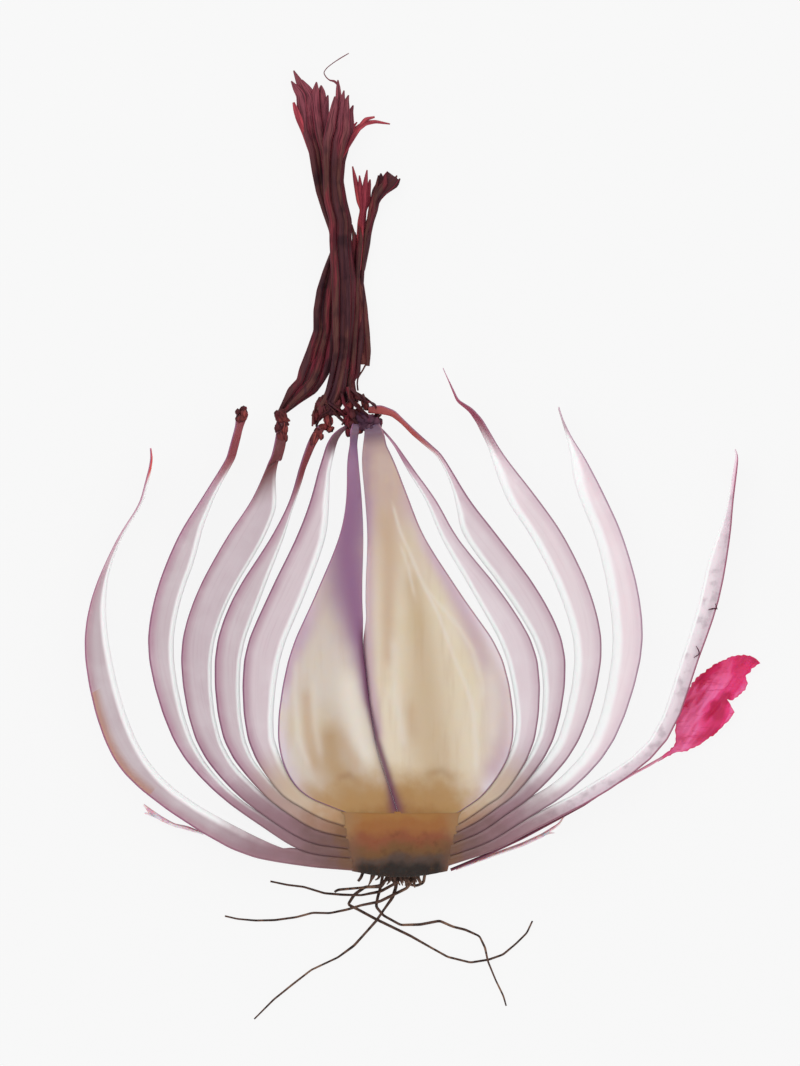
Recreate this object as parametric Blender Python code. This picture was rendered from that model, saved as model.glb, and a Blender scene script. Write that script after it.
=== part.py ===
"""A lengthwise slice of red onion, lying on its cut face with its layers fanned apart.

The slice lies flat: +Z is up out of the table, +Y runs from the roots to the dry neck, +X to the right.
The origin is the middle of the basal plate, the woody disc that every layer grows from, on the face that
the slice rests on. Sizes in the tables are millimetres, and each object is built in metres.

A layer is laid out from the heart outwards: at each level it stands one gap off its inner neighbour and
is as thick as its row says, so a thicker layer or a wider heart pushes the outer ones outwards.
"""

import math

import bmesh
import bpy
from mathutils import Vector
from mathutils.geometry import interpolate_bezier

MM = 0.001
CLEARANCE = 0.3

# The slice.
SLICE_THICKNESS = 6.0
FAR_FACE_SHRINK = 0.035
BULB_CENTRE = Vector((0.0, 22.0))
DEPTH_STEPS = 3
CURVE_STEPS = 3
RIBBON_STEPS = 2

# The basal plate, from its root side at -Y to its top, where the hearts stand.
PLATE_TOP = 4.2
PLATE_BOTTOM = -3.3
PLATE_TOP_LEFT = -7.4
PLATE_TOP_RIGHT = 7.8
PLATE_BOTTOM_LEFT = -6.0
PLATE_BOTTOM_RIGHT = 5.9
PLATE_BULGE = 0.8
PLATE_STEPS = 5

# The bulb's height from the plate's middle to the collar, where the layers dry out, and the levels on it:
# flank, hip, belly, waist, shoulder, throat and collar.
BULB_HEIGHT = 50.2
LEVELS = (0.145, 0.275, 0.482, 0.637, 0.792, 0.896, 1.0)
# Below the flank each side has two more levels, on lines that dip outwards from the hearts' underside:
# the sole and the heel. Each starts this share of the way from the plate's corner to the flank.
SOLE_ANGLE, SOLE_SHARE = math.radians(62), 0.3
HEEL_ANGLE, HEEL_SHARE = math.radians(32), 0.65

# The outline of the two hearts at those levels, and the seam between them.
HEART_LEFT = (-13.25, -15.9, -14.55, -11.3, -8.05, -7.0, -6.9)
HEART_RIGHT = (11.45, 14.75, 13.4, 8.45, 3.4, 1.2, -0.8)
HEART_SEAM = (-1.05, -2.75, -4.15, -4.7, -4.5, -4.75, -5.2)
HEART_GAP = (0.3, 0.3, 0.35, 0.4, 0.5, 0.4, 0.35)
SEAM_AT_PLATE = -0.3

# The neck frame stands on the collar at this place; everything above the collar is measured from it.
NECK_X = -5.8
LEFT_APEX = (-0.2, 3.9, 0.8)
RIGHT_APEX = (2.2, 3.6, 2.3)
APEX_TOP = 3.4

# Layers from the heart outwards: name, (gap, thickness) at the sole, heel and seven levels, then the
# drying tip as (x, y, thickness, top) from the neck frame, or from its own collar point if free.
HELD, FREE = "held by the neck", "free"
LEFT_LAYERS = (
    ("left_scale_5",
     ((0.4, 1.7), (0.75, 1.5), (0.4, 2.35), (0.5, 3.4), (1.05, 4.7), (1.3, 4.8),
      (1.7, 3.9), (2.2, 2.45), (2.1, 1.3)),
     HELD, ((-3.0, 2.6, 1.1, 4.2), (-2.4, 4.1, 0.7, 3.2))),
    ("left_scale_4",
     ((0.3, 1.35), (0.35, 1.4), (0.4, 1.95), (0.35, 2.8), (0.4, 3.4), (0.8, 3.65),
      (1.55, 1.8), (1.8, 0.9), (1.55, 1.05)),
     HELD, ((-5.6, 2.6, 1.15, 3.6), (-4.9, 4.9, 1.6, 2.6), (-4.1, 6.9, 1.0, 1.9))),
    ("left_scale_3",
     ((0.3, 1.5), (0.35, 1.8), (0.4, 3.1), (0.4, 3.25), (0.4, 4.0), (0.4, 4.55),
      (0.8, 4.95), (1.45, 3.5), (2.2, 1.95)),
     HELD, ((-9.4, 2.6, 1.9, 3.6), (-9.4, 4.9, 1.8, 2.9), (-9.7, 6.4, 1.3, 2.4))),
    ("left_scale_2",
     ((0.3, 1.1), (0.35, 1.1), (0.4, 2.1), (0.4, 2.5), (0.9, 3.25), (1.7, 3.5),
      (2.7, 3.65), (3.65, 3.0), (4.3, 1.45)),
     FREE, ((0.8, 2.6, 1.3, 4.0), (1.2, 4.7, 1.9, 3.4), (1.6, 6.4, 1.2, 2.8))),
    ("left_scale_1",
     ((0.35, 1.6), (1.7, 3.4), (4.8, 4.55), (4.8, 4.15), (4.8, 3.5), (5.2, 3.0),
      (6.0, 1.8), (6.75, 1.05), (9.5, 0.65)),
     FREE, ((0.1, 1.3, 0.4, 2.6),)),
)
RIGHT_LAYERS = (
    ("right_scale_1",
     ((0.4, 1.1), (0.55, 1.1), (0.4, 2.1), (0.35, 2.45), (0.5, 4.0), (1.55, 3.9),
      (2.1, 2.2), (2.1, 1.4), (0.8, 0.9)),
     HELD, ((4.9, 2.2, 0.65, 3.6), (4.3, 3.2, 0.4, 2.8))),
    ("right_scale_2",
     ((0.3, 0.7), (0.3, 0.8), (0.35, 1.25), (0.4, 2.05), (0.4, 3.25), (0.4, 4.4),
      (0.9, 4.55), (1.8, 2.6), (3.5, 1.55)),
     HELD, ((8.8, 2.6, 1.7, 3.6), (6.8, 4.3, 1.1, 3.0), (4.8, 6.0, 0.8, 2.4), (3.3, 6.7, 0.7, 2.2))),
    ("right_scale_3",
     ((0.3, 1.1), (0.3, 1.2), (0.4, 2.2), (0.5, 2.85), (1.15, 3.5), (2.35, 4.05),
      (4.15, 4.3), (4.8, 4.15), (6.0, 2.1)),
     FREE, ((-1.2, 2.6, 1.3, 4.0), (-2.7, 5.2, 0.8, 3.2), (-3.9, 6.2, 0.7, 2.6), (-5.6, 8.2, 0.5, 2.0),
            (-6.6, 10.0, 0.45, 1.6), (-7.4, 11.7, 0.35, 1.2))),
    ("right_scale_4",
     ((0.3, 1.3), (0.4, 1.7), (0.9, 3.25), (1.55, 3.0), (1.3, 3.8), (2.1, 4.0),
      (3.9, 3.65), (5.35, 3.5), (7.8, 2.45)),
     FREE, ((-1.2, 2.6, 1.7, 4.4), (-2.0, 5.2, 1.2, 3.8), (-2.2, 7.2, 0.5, 3.2))),
    ("right_scale_5",
     ((0.3, 1.0), (0.35, 1.6), (1.2, 3.75), (4.55, 2.35), (5.2, 2.35), (7.7, 2.6),
      (11.4, 2.35), (15.2, 1.3), (19.0, 0.8)),
     FREE, ((0.4, 1.7, 0.5, 3.0),)),
)
COLLAR_TOP = 5.2
SKIN_FOOT = 0.35

# Ribbons: (x, y, width, bottom, top) along the middle of each, bottom and top above the table.
# The dry leaves and shreds of the neck are in the neck frame. The middle leaf lies over the other two.
NECK_RIBBONS = {
    "neck_leaf_left": (
        (-9.7, 7.4, 1.2, 0.5, 1.7), (-8.9, 8.3, 1.8, 0.3, 2.0), (-7.5, 9.6, 2.9, 0.3, 2.0),
        (-6.0, 11.0, 3.5, 0.3, 2.0), (-5.3, 13.2, 3.2, 0.3, 2.0), (-4.6, 16.2, 2.9, 0.3, 2.0),
        (-4.2, 19.2, 2.9, 0.3, 2.0), (-3.7, 22.1, 3.0, 0.3, 2.0), (-3.1, 25.3, 2.4, 0.3, 2.0),
        (-2.5, 28.3, 2.1, 0.3, 2.0), (-2.4, 31.4, 2.5, 0.3, 2.0), (-3.0, 34.8, 2.7, 0.3, 2.0),
        (-4.0, 38.3, 2.9, 0.3, 2.0), (-4.6, 41.3, 3.1, 0.3, 2.0), (-5.3, 44.4, 3.4, 0.3, 1.9),
        (-5.8, 46.5, 3.6, 0.4, 1.7), (-6.3, 48.1, 3.1, 0.5, 1.5), (-6.9, 49.4, 1.5, 0.6, 1.2)),
    "neck_leaf_middle": (
        (-3.4, 6.4, 1.5, 2.6, 3.8), (-2.8, 8.0, 2.4, 2.3, 4.2), (-2.4, 10.6, 3.0, 2.3, 4.2),
        (-2.4, 13.2, 3.1, 2.3, 4.2), (-1.9, 16.9, 3.4, 2.3, 4.2), (-1.5, 20.8, 3.6, 2.3, 4.2),
        (-1.2, 24.9, 3.6, 2.3, 4.2), (-1.2, 28.6, 3.1, 2.3, 4.2), (-1.9, 31.8, 3.1, 2.3, 4.2),
        (-2.5, 35.1, 3.2, 2.3, 4.1), (-2.9, 38.3, 3.4, 2.3, 4.0), (-2.9, 40.9, 3.9, 2.3, 3.9),
        (-2.3, 43.5, 4.2, 2.3, 3.7), (-1.9, 45.7, 3.9, 2.3, 3.5), (-2.0, 47.4, 2.6, 2.3, 3.3),
        (-2.5, 49.0, 1.1, 2.4, 3.0)),
    "neck_leaf_right": (
        (-1.1, 8.3, 1.1, 0.5, 1.8), (-1.0, 9.7, 1.8, 0.3, 2.0), (-0.4, 11.4, 2.6, 0.3, 2.0),
        (0.2, 13.6, 3.4, 0.3, 2.0), (0.1, 16.2, 3.4, 0.3, 2.0), (-0.3, 20.1, 3.1, 0.3, 2.0),
        (-0.1, 23.4, 2.5, 0.3, 2.0), (0.0, 26.6, 2.2, 0.3, 2.0), (0.4, 29.1, 2.0, 0.3, 1.9),
        (1.1, 31.4, 1.7, 0.3, 1.8), (1.9, 33.3, 1.3, 0.3, 1.6), (2.5, 34.7, 1.1, 0.3, 1.5),
        (3.3, 35.9, 1.3, 0.3, 1.4), (4.4, 36.8, 1.7, 0.3, 1.3), (5.4, 37.3, 1.3, 0.4, 1.2)),
    "neck_shred_middle": (
        (0.8, 30.4, 0.6, 2.3, 3.0), (0.7, 32.2, 0.7, 2.3, 3.1), (0.7, 34.0, 1.0, 2.0, 3.0),
        (0.9, 35.7, 1.6, 1.2, 2.2), (0.3, 37.2, 2.0, 0.8, 1.6), (-0.2, 38.3, 0.9, 0.6, 1.2)),
    "neck_shred_right": (
        (0.5, 43.0, 0.5, 2.3, 3.0), (0.8, 43.9, 0.6, 1.9, 2.7), (1.5, 44.6, 0.8, 1.3, 2.1),
        (2.7, 44.5, 0.9, 0.6, 1.3), (4.2, 44.1, 0.4, 0.4, 0.8)),
    "neck_shred_left": (
        (-6.7, 41.7, 0.4, 2.3, 2.8), (-7.1, 43.9, 0.6, 2.3, 3.0), (-7.7, 45.7, 0.6, 2.2, 2.8),
        (-8.2, 46.8, 0.4, 2.0, 2.4)),
    "neck_thread": (
        (-2.9, 49.8, 0.3, 2.3, 2.6), (-3.7, 50.0, 0.3, 2.0, 2.3), (-4.2, 50.7, 0.3, 1.6, 1.9),
        (-3.6, 51.6, 0.3, 1.2, 1.5), (-2.3, 52.5, 0.4, 0.7, 1.1), (-1.0, 53.0, 0.4, 0.4, 0.8)),
}
# The papery outer skin, placed from the outermost layer's outer edge: the left sliver between heel and
# flank, the right one at the flank and the pink flap at the hip. The flap's strand runs along that edge.
SLIVER_LEFT = (
    (0.3, -1.1, 0.5, 1.5, 4.6), (-1.3, -0.75, 0.6, 1.0, 4.0), (-3.3, -0.05, 0.8, 0.5, 3.0),
    (-4.7, 0.85, 0.9, 0.3, 2.0), (-5.6, 1.9, 0.5, 0.4, 1.2))
SLIVER_RIGHT = (
    (-18.9, -10.0, 0.4, 0.3, 2.1), (-14.8, -8.3, 0.5, 0.3, 2.1), (-11.2, -7.3, 0.6, 0.3, 2.0),
    (-8.6, -6.0, 0.6, 0.3, 1.7), (-6.5, -4.8, 0.5, 0.3, 1.4), (-5.6, -3.8, 0.3, 0.4, 1.1))
FLAP = (
    (-0.7, -2.4, 0.6, 0.5, 1.4), (1.5, -1.3, 1.6, 0.3, 1.0), (3.3, 0.6, 4.4, 0.3, 1.0),
    (4.9, 3.0, 6.0, 0.4, 1.1), (6.5, 5.4, 6.4, 0.5, 1.2), (8.2, 7.7, 4.8, 0.6, 1.3),
    (10.0, 9.3, 3.0, 0.5, 1.1), (11.8, 10.1, 1.0, 0.4, 0.8))
STRAND_WIDTH = 0.45
STRAND_SPANS = ((2.6, 5.0), (2.6, 4.6), (2.5, 4.2), (2.2, 3.6), (1.2, 2.4))

# The dried lump that ties the neck to the hearts: centre in the neck frame, and its three radii.
KNOT_CENTRE = Vector((0.2, 6.6, 2.3))
KNOT_RADII = Vector((2.3, 1.45, 1.7))
KNOT_LUMPS = 0.12

# Roots leave the plate's root side at (x, z) and come down to the table along points (x, y, z).
ROOT_DIAMETER = 0.5
ROOTS = {
    "root_1": ((0.4, 3.1), (-0.6, -5.0, 2.9), (-2.5, -6.1, 2.5), (-5.1, -6.6, 1.7),
               (-7.5, -6.6, 1.1), (-9.9, -6.4, 0.6), (-12.6, -5.6, 0.3), (-14.7, -5.3, 0.3),
               (-17.0, -4.9, 0.3)),
    "root_2": ((2.2, 2.3), (0.9, -5.6, 2.2), (-0.7, -6.5, 2.2), (-2.7, -7.4, 2.2),
               (-5.1, -7.9, 1.9), (-6.9, -8.5, 1.4), (-9.2, -9.0, 0.7), (-11.4, -9.0, 0.3),
               (-13.5, -9.5, 0.3), (-16.4, -10.0, 0.3), (-18.9, -10.0, 0.3), (-21.2, -9.8, 0.3),
               (-23.0, -9.4, 0.3)),
    "root_3": ((-0.3, 1.5), (-0.5, -5.6, 1.2), (-1.0, -7.0, 1.0), (-2.1, -8.5, 1.0),
               (-3.1, -10.0, 1.1), (-4.5, -11.6, 0.6), (-6.0, -13.3, 0.3), (-8.1, -14.8, 0.3),
               (-11.7, -16.5, 0.3), (-14.0, -18.3, 0.3), (-16.5, -20.3, 0.3), (-19.1, -22.8, 0.3)),
    "root_4": ((-1.4, 0.9), (-2.5, -5.5, 0.6), (-4.5, -5.6, 0.4), (-6.0, -6.6, 0.3),
               (-6.8, -7.9, 0.3), (-5.5, -8.6, 0.3), (-3.2, -9.8, 0.3), (1.4, -12.0, 0.3),
               (3.9, -13.5, 0.3), (6.2, -14.7, 0.3), (9.2, -15.5, 0.3), (11.6, -15.1, 0.3),
               (13.4, -14.4, 0.3), (15.2, -13.0, 0.3), (16.6, -11.6, 0.3), (17.4, -10.1, 0.3)),
    "root_5": ((-2.2, 2.0), (-2.6, -5.6, 1.5), (-2.9, -7.0, 1.3), (-3.1, -8.1, 1.6),
               (-2.1, -9.2, 1.9), (0.0, -10.5, 1.2), (2.6, -10.5, 0.5), (5.2, -10.0, 0.3),
               (6.9, -10.8, 0.3), (8.6, -11.2, 0.3), (10.4, -12.0, 0.4), (11.1, -13.5, 0.8),
               (11.4, -15.3, 1.15), (12.5, -17.7, 0.6), (13.5, -19.8, 0.3), (13.9, -21.2, 0.3)),
    "root_6": ((-1.0, 4.2), (-2.7, -5.2, 3.9), (-5.1, -5.6, 3.2), (-8.1, -5.9, 2.4),
               (-8.6, -6.2, 2.1)),
    "root_7": ((3.3, 1.6), (3.1, -5.0, 1.1), (2.2, -5.5, 0.7), (1.3, -5.3, 0.5),
               (0.9, -4.8, 0.5)),
    "root_8": ((-4.7, 1.2), (-5.1, -4.3, 0.9), (-5.5, -4.9, 0.7)),
}


def clear_scene():
    for obj in list(bpy.data.objects):
        bpy.data.objects.remove(obj)


def material(name, colour, roughness):
    made = bpy.data.materials.new(name)
    made.use_nodes = True
    shader = made.node_tree.nodes["Principled BSDF"]
    shader.inputs["Base Color"].default_value = (*colour, 1.0)
    shader.inputs["Roughness"].default_value = roughness
    shader.inputs["Metallic"].default_value = 0.0
    return made


def smooth_curve(points, steps=CURVE_STEPS):
    """Points on one smooth curve through the given ones, with that many steps from each to the next."""
    points = [Vector(p) for p in points]
    ends = [2 * points[0] - points[1], *points, 2 * points[-1] - points[-2]]
    made = [points[0]]
    for before, start, end, after in zip(ends, ends[1:], ends[2:], ends[3:]):
        out, back = start + (end - before) / 6, end - (after - start) / 6
        made += interpolate_bezier(start, out, back, end, steps + 1)[1:]
    return made


def shrunk(x, y, z):
    """The point at height z under (x, y) of the upper cut face: the bulb is rounder towards the table."""
    share = FAR_FACE_SHRINK * (1 - z / SLICE_THICKNESS) ** 2
    place = BULB_CENTRE + (Vector((x, y)) - BULB_CENTRE) * (1 - share)
    return Vector((place.x, place.y, z)) * MM


def loft(name, rings, finish):
    """One closed solid through the rings: the first ring is filled, then pulled on from ring to ring."""
    bm = bmesh.new()
    ring = [bm.verts.new(point) for point in rings[0]]
    bm.faces.new(ring)
    for points in rings[1:]:
        edges = [bm.edges.get(pair) for pair in zip(ring, ring[1:] + ring[:1])]
        pulled = bmesh.ops.extrude_edge_only(bm, edges=edges)["geom"]
        fresh = {item for item in pulled if isinstance(item, bmesh.types.BMVert)}
        ring = [next(e.other_vert(v) for e in v.link_edges if e.other_vert(v) in fresh) for v in ring]
        for vert, point in zip(ring, points):
            vert.co = point
    bm.faces.new(ring)
    bmesh.ops.recalc_face_normals(bm, faces=bm.faces)
    return add_object(name, bm, finish)


def add_object(name, bm, finish):
    mesh = bpy.data.meshes.new(name)
    bm.to_mesh(mesh)
    bm.free()
    mesh.materials.append(finish)
    obj = bpy.data.objects.new(name, mesh)
    bpy.context.scene.collection.objects.link(obj)
    return obj


def slab(name, outer, inner, finish):
    """A piece cut right through the slice, between two edges on the upper face given as (x, y, top)."""
    rings = []
    for a, b in zip(outer, inner):
        a.z, b.z = min(a.z, SLICE_THICKNESS), min(b.z, SLICE_THICKNESS)
        down = [step / DEPTH_STEPS for step in range(DEPTH_STEPS, -1, -1)]
        wall_out = [shrunk(a.x, a.y, a.z * share) for share in down]
        wall_in = [shrunk(b.x, b.y, b.z * share) for share in reversed(down)]
        rings.append(wall_out + wall_in)
    return loft(name, rings, finish)


def level_heights():
    return [share * BULB_HEIGHT for share in LEVELS]


def heart(name, left, right, apex, finish):
    """One heart: its two edges at the plate and at the levels, closing at its apex."""
    heights = [PLATE_TOP + CLEARANCE] + level_heights()
    tops = [SLICE_THICKNESS] * len(LEVELS) + [COLLAR_TOP]
    x, y, width = NECK_X + apex[0], BULB_HEIGHT + apex[1], apex[2]
    edges = []
    for side, sign in ((left, -1), (right, 1)):
        points = list(zip(side, heights, tops)) + [(x + sign * width / 2, y, APEX_TOP)]
        edges.append(smooth_curve(points))
    return slab(name, *edges, finish)


def add_hearts(finish):
    gaps = [gap / 2 for gap in HEART_GAP]
    seam_left = [SEAM_AT_PLATE - CLEARANCE / 2] + [x - gap for x, gap in zip(HEART_SEAM, gaps)]
    seam_right = [SEAM_AT_PLATE + CLEARANCE / 2] + [x + gap for x, gap in zip(HEART_SEAM, gaps)]
    heart("heart_left", (PLATE_TOP_LEFT, *HEART_LEFT), seam_left, LEFT_APEX, finish)
    heart("heart_right", seam_right, (PLATE_TOP_RIGHT, *HEART_RIGHT), RIGHT_APEX, finish)


def root_side(x):
    """The y of the plate's root side on the upper face. It bulges towards the roots in the middle."""
    share = (x - PLATE_BOTTOM_LEFT) / (PLATE_BOTTOM_RIGHT - PLATE_BOTTOM_LEFT)
    return PLATE_BOTTOM - PLATE_BULGE * (1 - (2 * share - 1) ** 2)


def add_plate(finish):
    """The woody disc, cut through: straight sides for the layers' feet, and a root side that bulges."""
    outer, inner = [], []
    for step in range(PLATE_STEPS + 1):
        share = step / PLATE_STEPS
        x = PLATE_BOTTOM_LEFT + (PLATE_BOTTOM_RIGHT - PLATE_BOTTOM_LEFT) * share
        outer.append(Vector((x, root_side(x), SLICE_THICKNESS)))
        top = PLATE_TOP_LEFT + (PLATE_TOP_RIGHT - PLATE_TOP_LEFT) * share
        inner.append(Vector((top, PLATE_TOP, SLICE_THICKNESS)))
    slab("basal_plate", outer, inner, finish)


def feet(layers, top_corner, bottom_corner, extra):
    """Where each layer stands on the plate's side, from the top down: pairs of (inner, outer) points."""
    side = Vector(bottom_corner) - Vector(top_corner)
    along = side.normalized()
    away = Vector((along.y, -along.x)) * (1 if side.x > 0 else -1)
    soles = [levels[0][1] for _, levels, _, _ in layers] + extra
    share = (side.length - len(soles) * CLEARANCE) / sum(soles)
    place = Vector(top_corner) + away * CLEARANCE
    made = []
    for sole in soles:
        inner = place + along * CLEARANCE / 2
        outer = inner + along * sole * share
        made.append((inner, outer))
        place = outer + along * CLEARANCE / 2
    return made


def add_layers(layers, heart_edge, sign, stands, finish):
    """The layers of one side. sign is -1 on the left and 1 on the right. Returns the last outer edge."""
    heights = level_heights()
    corner = PLATE_TOP_LEFT if sign < 0 else PLATE_TOP_RIGHT
    corner, flank = Vector((corner, PLATE_TOP + CLEARANCE)), Vector((heart_edge[0], heights[0]))
    rays = []
    for share, dip in ((SOLE_SHARE, SOLE_ANGLE), (HEEL_SHARE, HEEL_ANGLE)):
        rays.append((corner.lerp(flank, share), Vector((sign * math.cos(dip), -math.sin(dip)))))
    rays += [(Vector((x, y)), Vector((sign, 0))) for x, y in zip(heart_edge, heights)]
    tops = [SLICE_THICKNESS] * (len(rays) - 1) + [COLLAR_TOP]
    reach = [0.0] * len(rays)
    for (name, levels, hold, tip), (foot_in, foot_out) in zip(layers, stands):
        inner, outer = [(*foot_in, SLICE_THICKNESS)], [(*foot_out, SLICE_THICKNESS)]
        for i, ((gap, thickness), (origin, ray), top) in enumerate(zip(levels, rays, tops)):
            inner.append((*(origin + ray * (reach[i] + gap)), top))
            reach[i] += gap + thickness
            outer.append((*(origin + ray * reach[i]), top))
        collar = (Vector(inner[-1][:2]) + Vector(outer[-1][:2])) / 2
        base = collar if hold == FREE else Vector((NECK_X, BULB_HEIGHT))
        spine = [collar] + [base + Vector(point[:2]) for point in tip]
        for i, (_, _, thickness, top) in enumerate(tip, start=1):
            ahead = spine[min(i + 1, len(spine) - 1)] - spine[i - 1]
            across = Vector((ahead.y, -ahead.x)).normalized() * sign * thickness / 2
            inner.append((*(spine[i] - across), top))
            outer.append((*(spine[i] + across), top))
        slab(name, smooth_curve(outer), smooth_curve(inner), finish)
    return [Vector(point[:2]) for point in outer[:5]]


def ribbon(name, points, place, finish):
    """A flat dry leaf or skin: an eight-sided section carried along a smooth line."""
    made = smooth_curve([(x + place.x, y + place.y, w) for x, y, w, _, _ in points], RIBBON_STEPS)
    heights = smooth_curve([(low, high, 0) for _, _, _, low, high in points], RIBBON_STEPS)
    rings = []
    for i, (at, span) in enumerate(zip(made, heights)):
        ahead = made[min(i + 1, len(made) - 1)] - made[max(i - 1, 0)]
        across = Vector((ahead.y, -ahead.x, 0)).normalized()
        middle = Vector((at.x, at.y, (span[0] + span[1]) / 2))
        half, rise = at.z / 2, (span[1] - span[0]) / 2
        ring = []
        for side in range(8):
            angle = math.tau * (side + 0.5) / 8
            flat = across * half * math.cos(angle) / math.cos(math.pi / 8)
            ring.append((middle + flat + Vector((0, 0, rise * math.sin(angle) / math.cos(math.pi / 8)))) * MM)
        rings.append(ring)
    return loft(name, rings, finish)


def add_flap(foot, edge, finish):
    """The pink flap: its strand stands at the plate, then keeps clear of the outermost layer's edge."""
    sole, heel, flank, hip = edge[1:]
    strand = [foot - hip]
    for start, end, share in ((sole, heel, 0.0), (heel, flank, 0.0), (heel, flank, 0.5), (flank, hip, 0.3)):
        ahead = (end - start).normalized()
        off = Vector((ahead.y, -ahead.x)) * (STRAND_WIDTH / 2 + 1.5 * CLEARANCE)
        strand.append(start.lerp(end, share) + off - hip)
    rows = [(x, y, STRAND_WIDTH, *span) for (x, y), span in zip(strand, STRAND_SPANS)]
    ribbon("skin_flap_right", (*rows, *FLAP), hip, finish)


def add_knot(finish):
    bm = bmesh.new()
    bmesh.ops.create_icosphere(bm, subdivisions=2, radius=1.0)
    for vert in bm.verts:
        lump = 1 + KNOT_LUMPS * math.sin(5 * vert.co.x + 3 * vert.co.z) * math.cos(4 * vert.co.y)
        vert.co = (KNOT_CENTRE + vert.co * KNOT_RADII * lump + Vector((NECK_X, BULB_HEIGHT, 0))) * MM
    return add_object("neck_knot", bm, finish)


def add_root(name, points, finish):
    (x, z), *way = points
    wall = shrunk(x, root_side(x), z) / MM
    start = (x, wall.y - CLEARANCE - ROOT_DIAMETER / 4, z)
    line = smooth_curve([start, *way], RIBBON_STEPS)
    curve = bpy.data.curves.new(name, "CURVE")
    curve.dimensions = "3D"
    curve.bevel_depth = ROOT_DIAMETER / 2 * MM
    curve.bevel_resolution = 1
    curve.use_fill_caps = True
    spline = curve.splines.new("POLY")
    spline.points.add(len(line) - 1)
    for point, at in zip(spline.points, line):
        point.co = (*(at * MM), 1.0)
    curve.materials.append(finish)
    obj = bpy.data.objects.new(name, curve)
    bpy.context.scene.collection.objects.link(obj)
    return obj


def main():
    clear_scene()
    flesh_left = material("flesh_mauve", (0.52, 0.40, 0.45), 0.35)
    flesh_right = material("flesh_pale", (0.68, 0.56, 0.61), 0.35)
    heart_flesh = material("heart_flesh", (0.55, 0.47, 0.34), 0.35)
    plate_wood = material("plate_wood", (0.20, 0.09, 0.04), 0.7)
    dry_leaf = material("dry_leaf", (0.10, 0.03, 0.03), 0.6)
    pink_skin = material("pink_skin", (0.70, 0.07, 0.20), 0.45)
    pale_skin = material("pale_skin", (0.75, 0.60, 0.66), 0.45)
    root_brown = material("root_brown", (0.12, 0.07, 0.05), 0.8)

    add_plate(plate_wood)
    add_hearts(heart_flesh)

    top, bottom = (PLATE_TOP_LEFT, PLATE_TOP), (PLATE_BOTTOM_LEFT, PLATE_BOTTOM)
    left_side = feet(LEFT_LAYERS, top, bottom, [])
    left_edge = add_layers(LEFT_LAYERS, HEART_LEFT, -1, left_side, flesh_left)
    top, bottom = (PLATE_TOP_RIGHT, PLATE_TOP), (PLATE_BOTTOM_RIGHT, PLATE_BOTTOM)
    right_side = feet(RIGHT_LAYERS, top, bottom, [SKIN_FOOT])
    right_edge = add_layers(RIGHT_LAYERS, HEART_RIGHT, 1, right_side, flesh_right)

    add_flap((right_side[-1][0] + right_side[-1][1]) / 2, right_edge, pink_skin)
    ribbon("skin_sliver_left", SLIVER_LEFT, (left_edge[2] + left_edge[3]) / 2, pale_skin)
    ribbon("skin_sliver_right", SLIVER_RIGHT, right_edge[3], pale_skin)
    for name, points in NECK_RIBBONS.items():
        ribbon(name, points, Vector((NECK_X, BULB_HEIGHT)), dry_leaf)
    add_knot(dry_leaf)
    for name, points in ROOTS.items():
        add_root(name, points, root_brown)


main()
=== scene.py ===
# %% [markdown]
# # A fanned slice of red onion
#
# The object is a lengthwise slice through a red onion, lying on its cut face. Ten fleshy layers fan out
# from a woody basal plate, two hearts stand between them, and a dry neck, torn skins and wiry roots are
# still attached. The imported CAD model is the frame: it says where everything is, and how big. This script
# gives each piece its final shape and its finish.
#
# Lengths in this script are millimetres, and `MM` turns them into metres where a mesh is made.

# %% The frame, its node count and the slice's thickness
import math

import bmesh
import bpy
import numpy as np
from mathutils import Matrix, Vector, noise


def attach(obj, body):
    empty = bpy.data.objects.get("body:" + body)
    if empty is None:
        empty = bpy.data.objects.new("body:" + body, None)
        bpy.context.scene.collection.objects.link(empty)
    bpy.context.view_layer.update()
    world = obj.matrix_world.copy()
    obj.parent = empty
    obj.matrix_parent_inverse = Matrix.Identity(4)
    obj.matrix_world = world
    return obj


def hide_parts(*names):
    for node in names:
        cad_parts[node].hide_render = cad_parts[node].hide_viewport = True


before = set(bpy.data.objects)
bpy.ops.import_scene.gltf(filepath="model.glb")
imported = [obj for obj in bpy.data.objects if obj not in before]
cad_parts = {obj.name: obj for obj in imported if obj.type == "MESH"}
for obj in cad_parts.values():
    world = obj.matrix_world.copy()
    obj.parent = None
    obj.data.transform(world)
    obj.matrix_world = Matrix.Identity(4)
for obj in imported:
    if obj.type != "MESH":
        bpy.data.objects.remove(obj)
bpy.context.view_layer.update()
MM = 0.001
SLICE = 6.0
print("nodes in the frame:", len(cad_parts))

# %% [markdown]
# ## The camera and the light
#
# The slice is seen straight from above, as on a light table: the surface under it glows, so there are no
# hard shadows, and the gaps between the layers stay bright. A long lens from far away keeps the walls of
# the layers nearly hidden. The camera stands over a point a little above the bulb's middle.

# %% Camera
VIEW_HEIGHT = 138.58
LENS = 250.0
camera = bpy.data.objects.new("camera", bpy.data.cameras.new("camera"))
camera.data.lens = LENS
camera.data.sensor_width = 36.0
camera.location = Vector((0.0, 40.69, SLICE + LENS * VIEW_HEIGHT / 36.0)) * MM
bpy.context.scene.collection.objects.link(camera)
bpy.context.scene.camera = camera
bpy.context.scene.view_settings.view_transform = "Standard"
print("camera height in mm:", round(camera.location.z / MM, 1))


# %% Colours and nodes
def linear(code):
    """The linear colour of an sRGB hex code, which is what a shader works in."""
    parts = [int(code[i:i + 2], 16) / 255 for i in (1, 3, 5)]
    return (*[c / 12.92 if c <= 0.04045 else ((c + 0.055) / 1.055) ** 2.4 for c in parts], 1.0)


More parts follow.
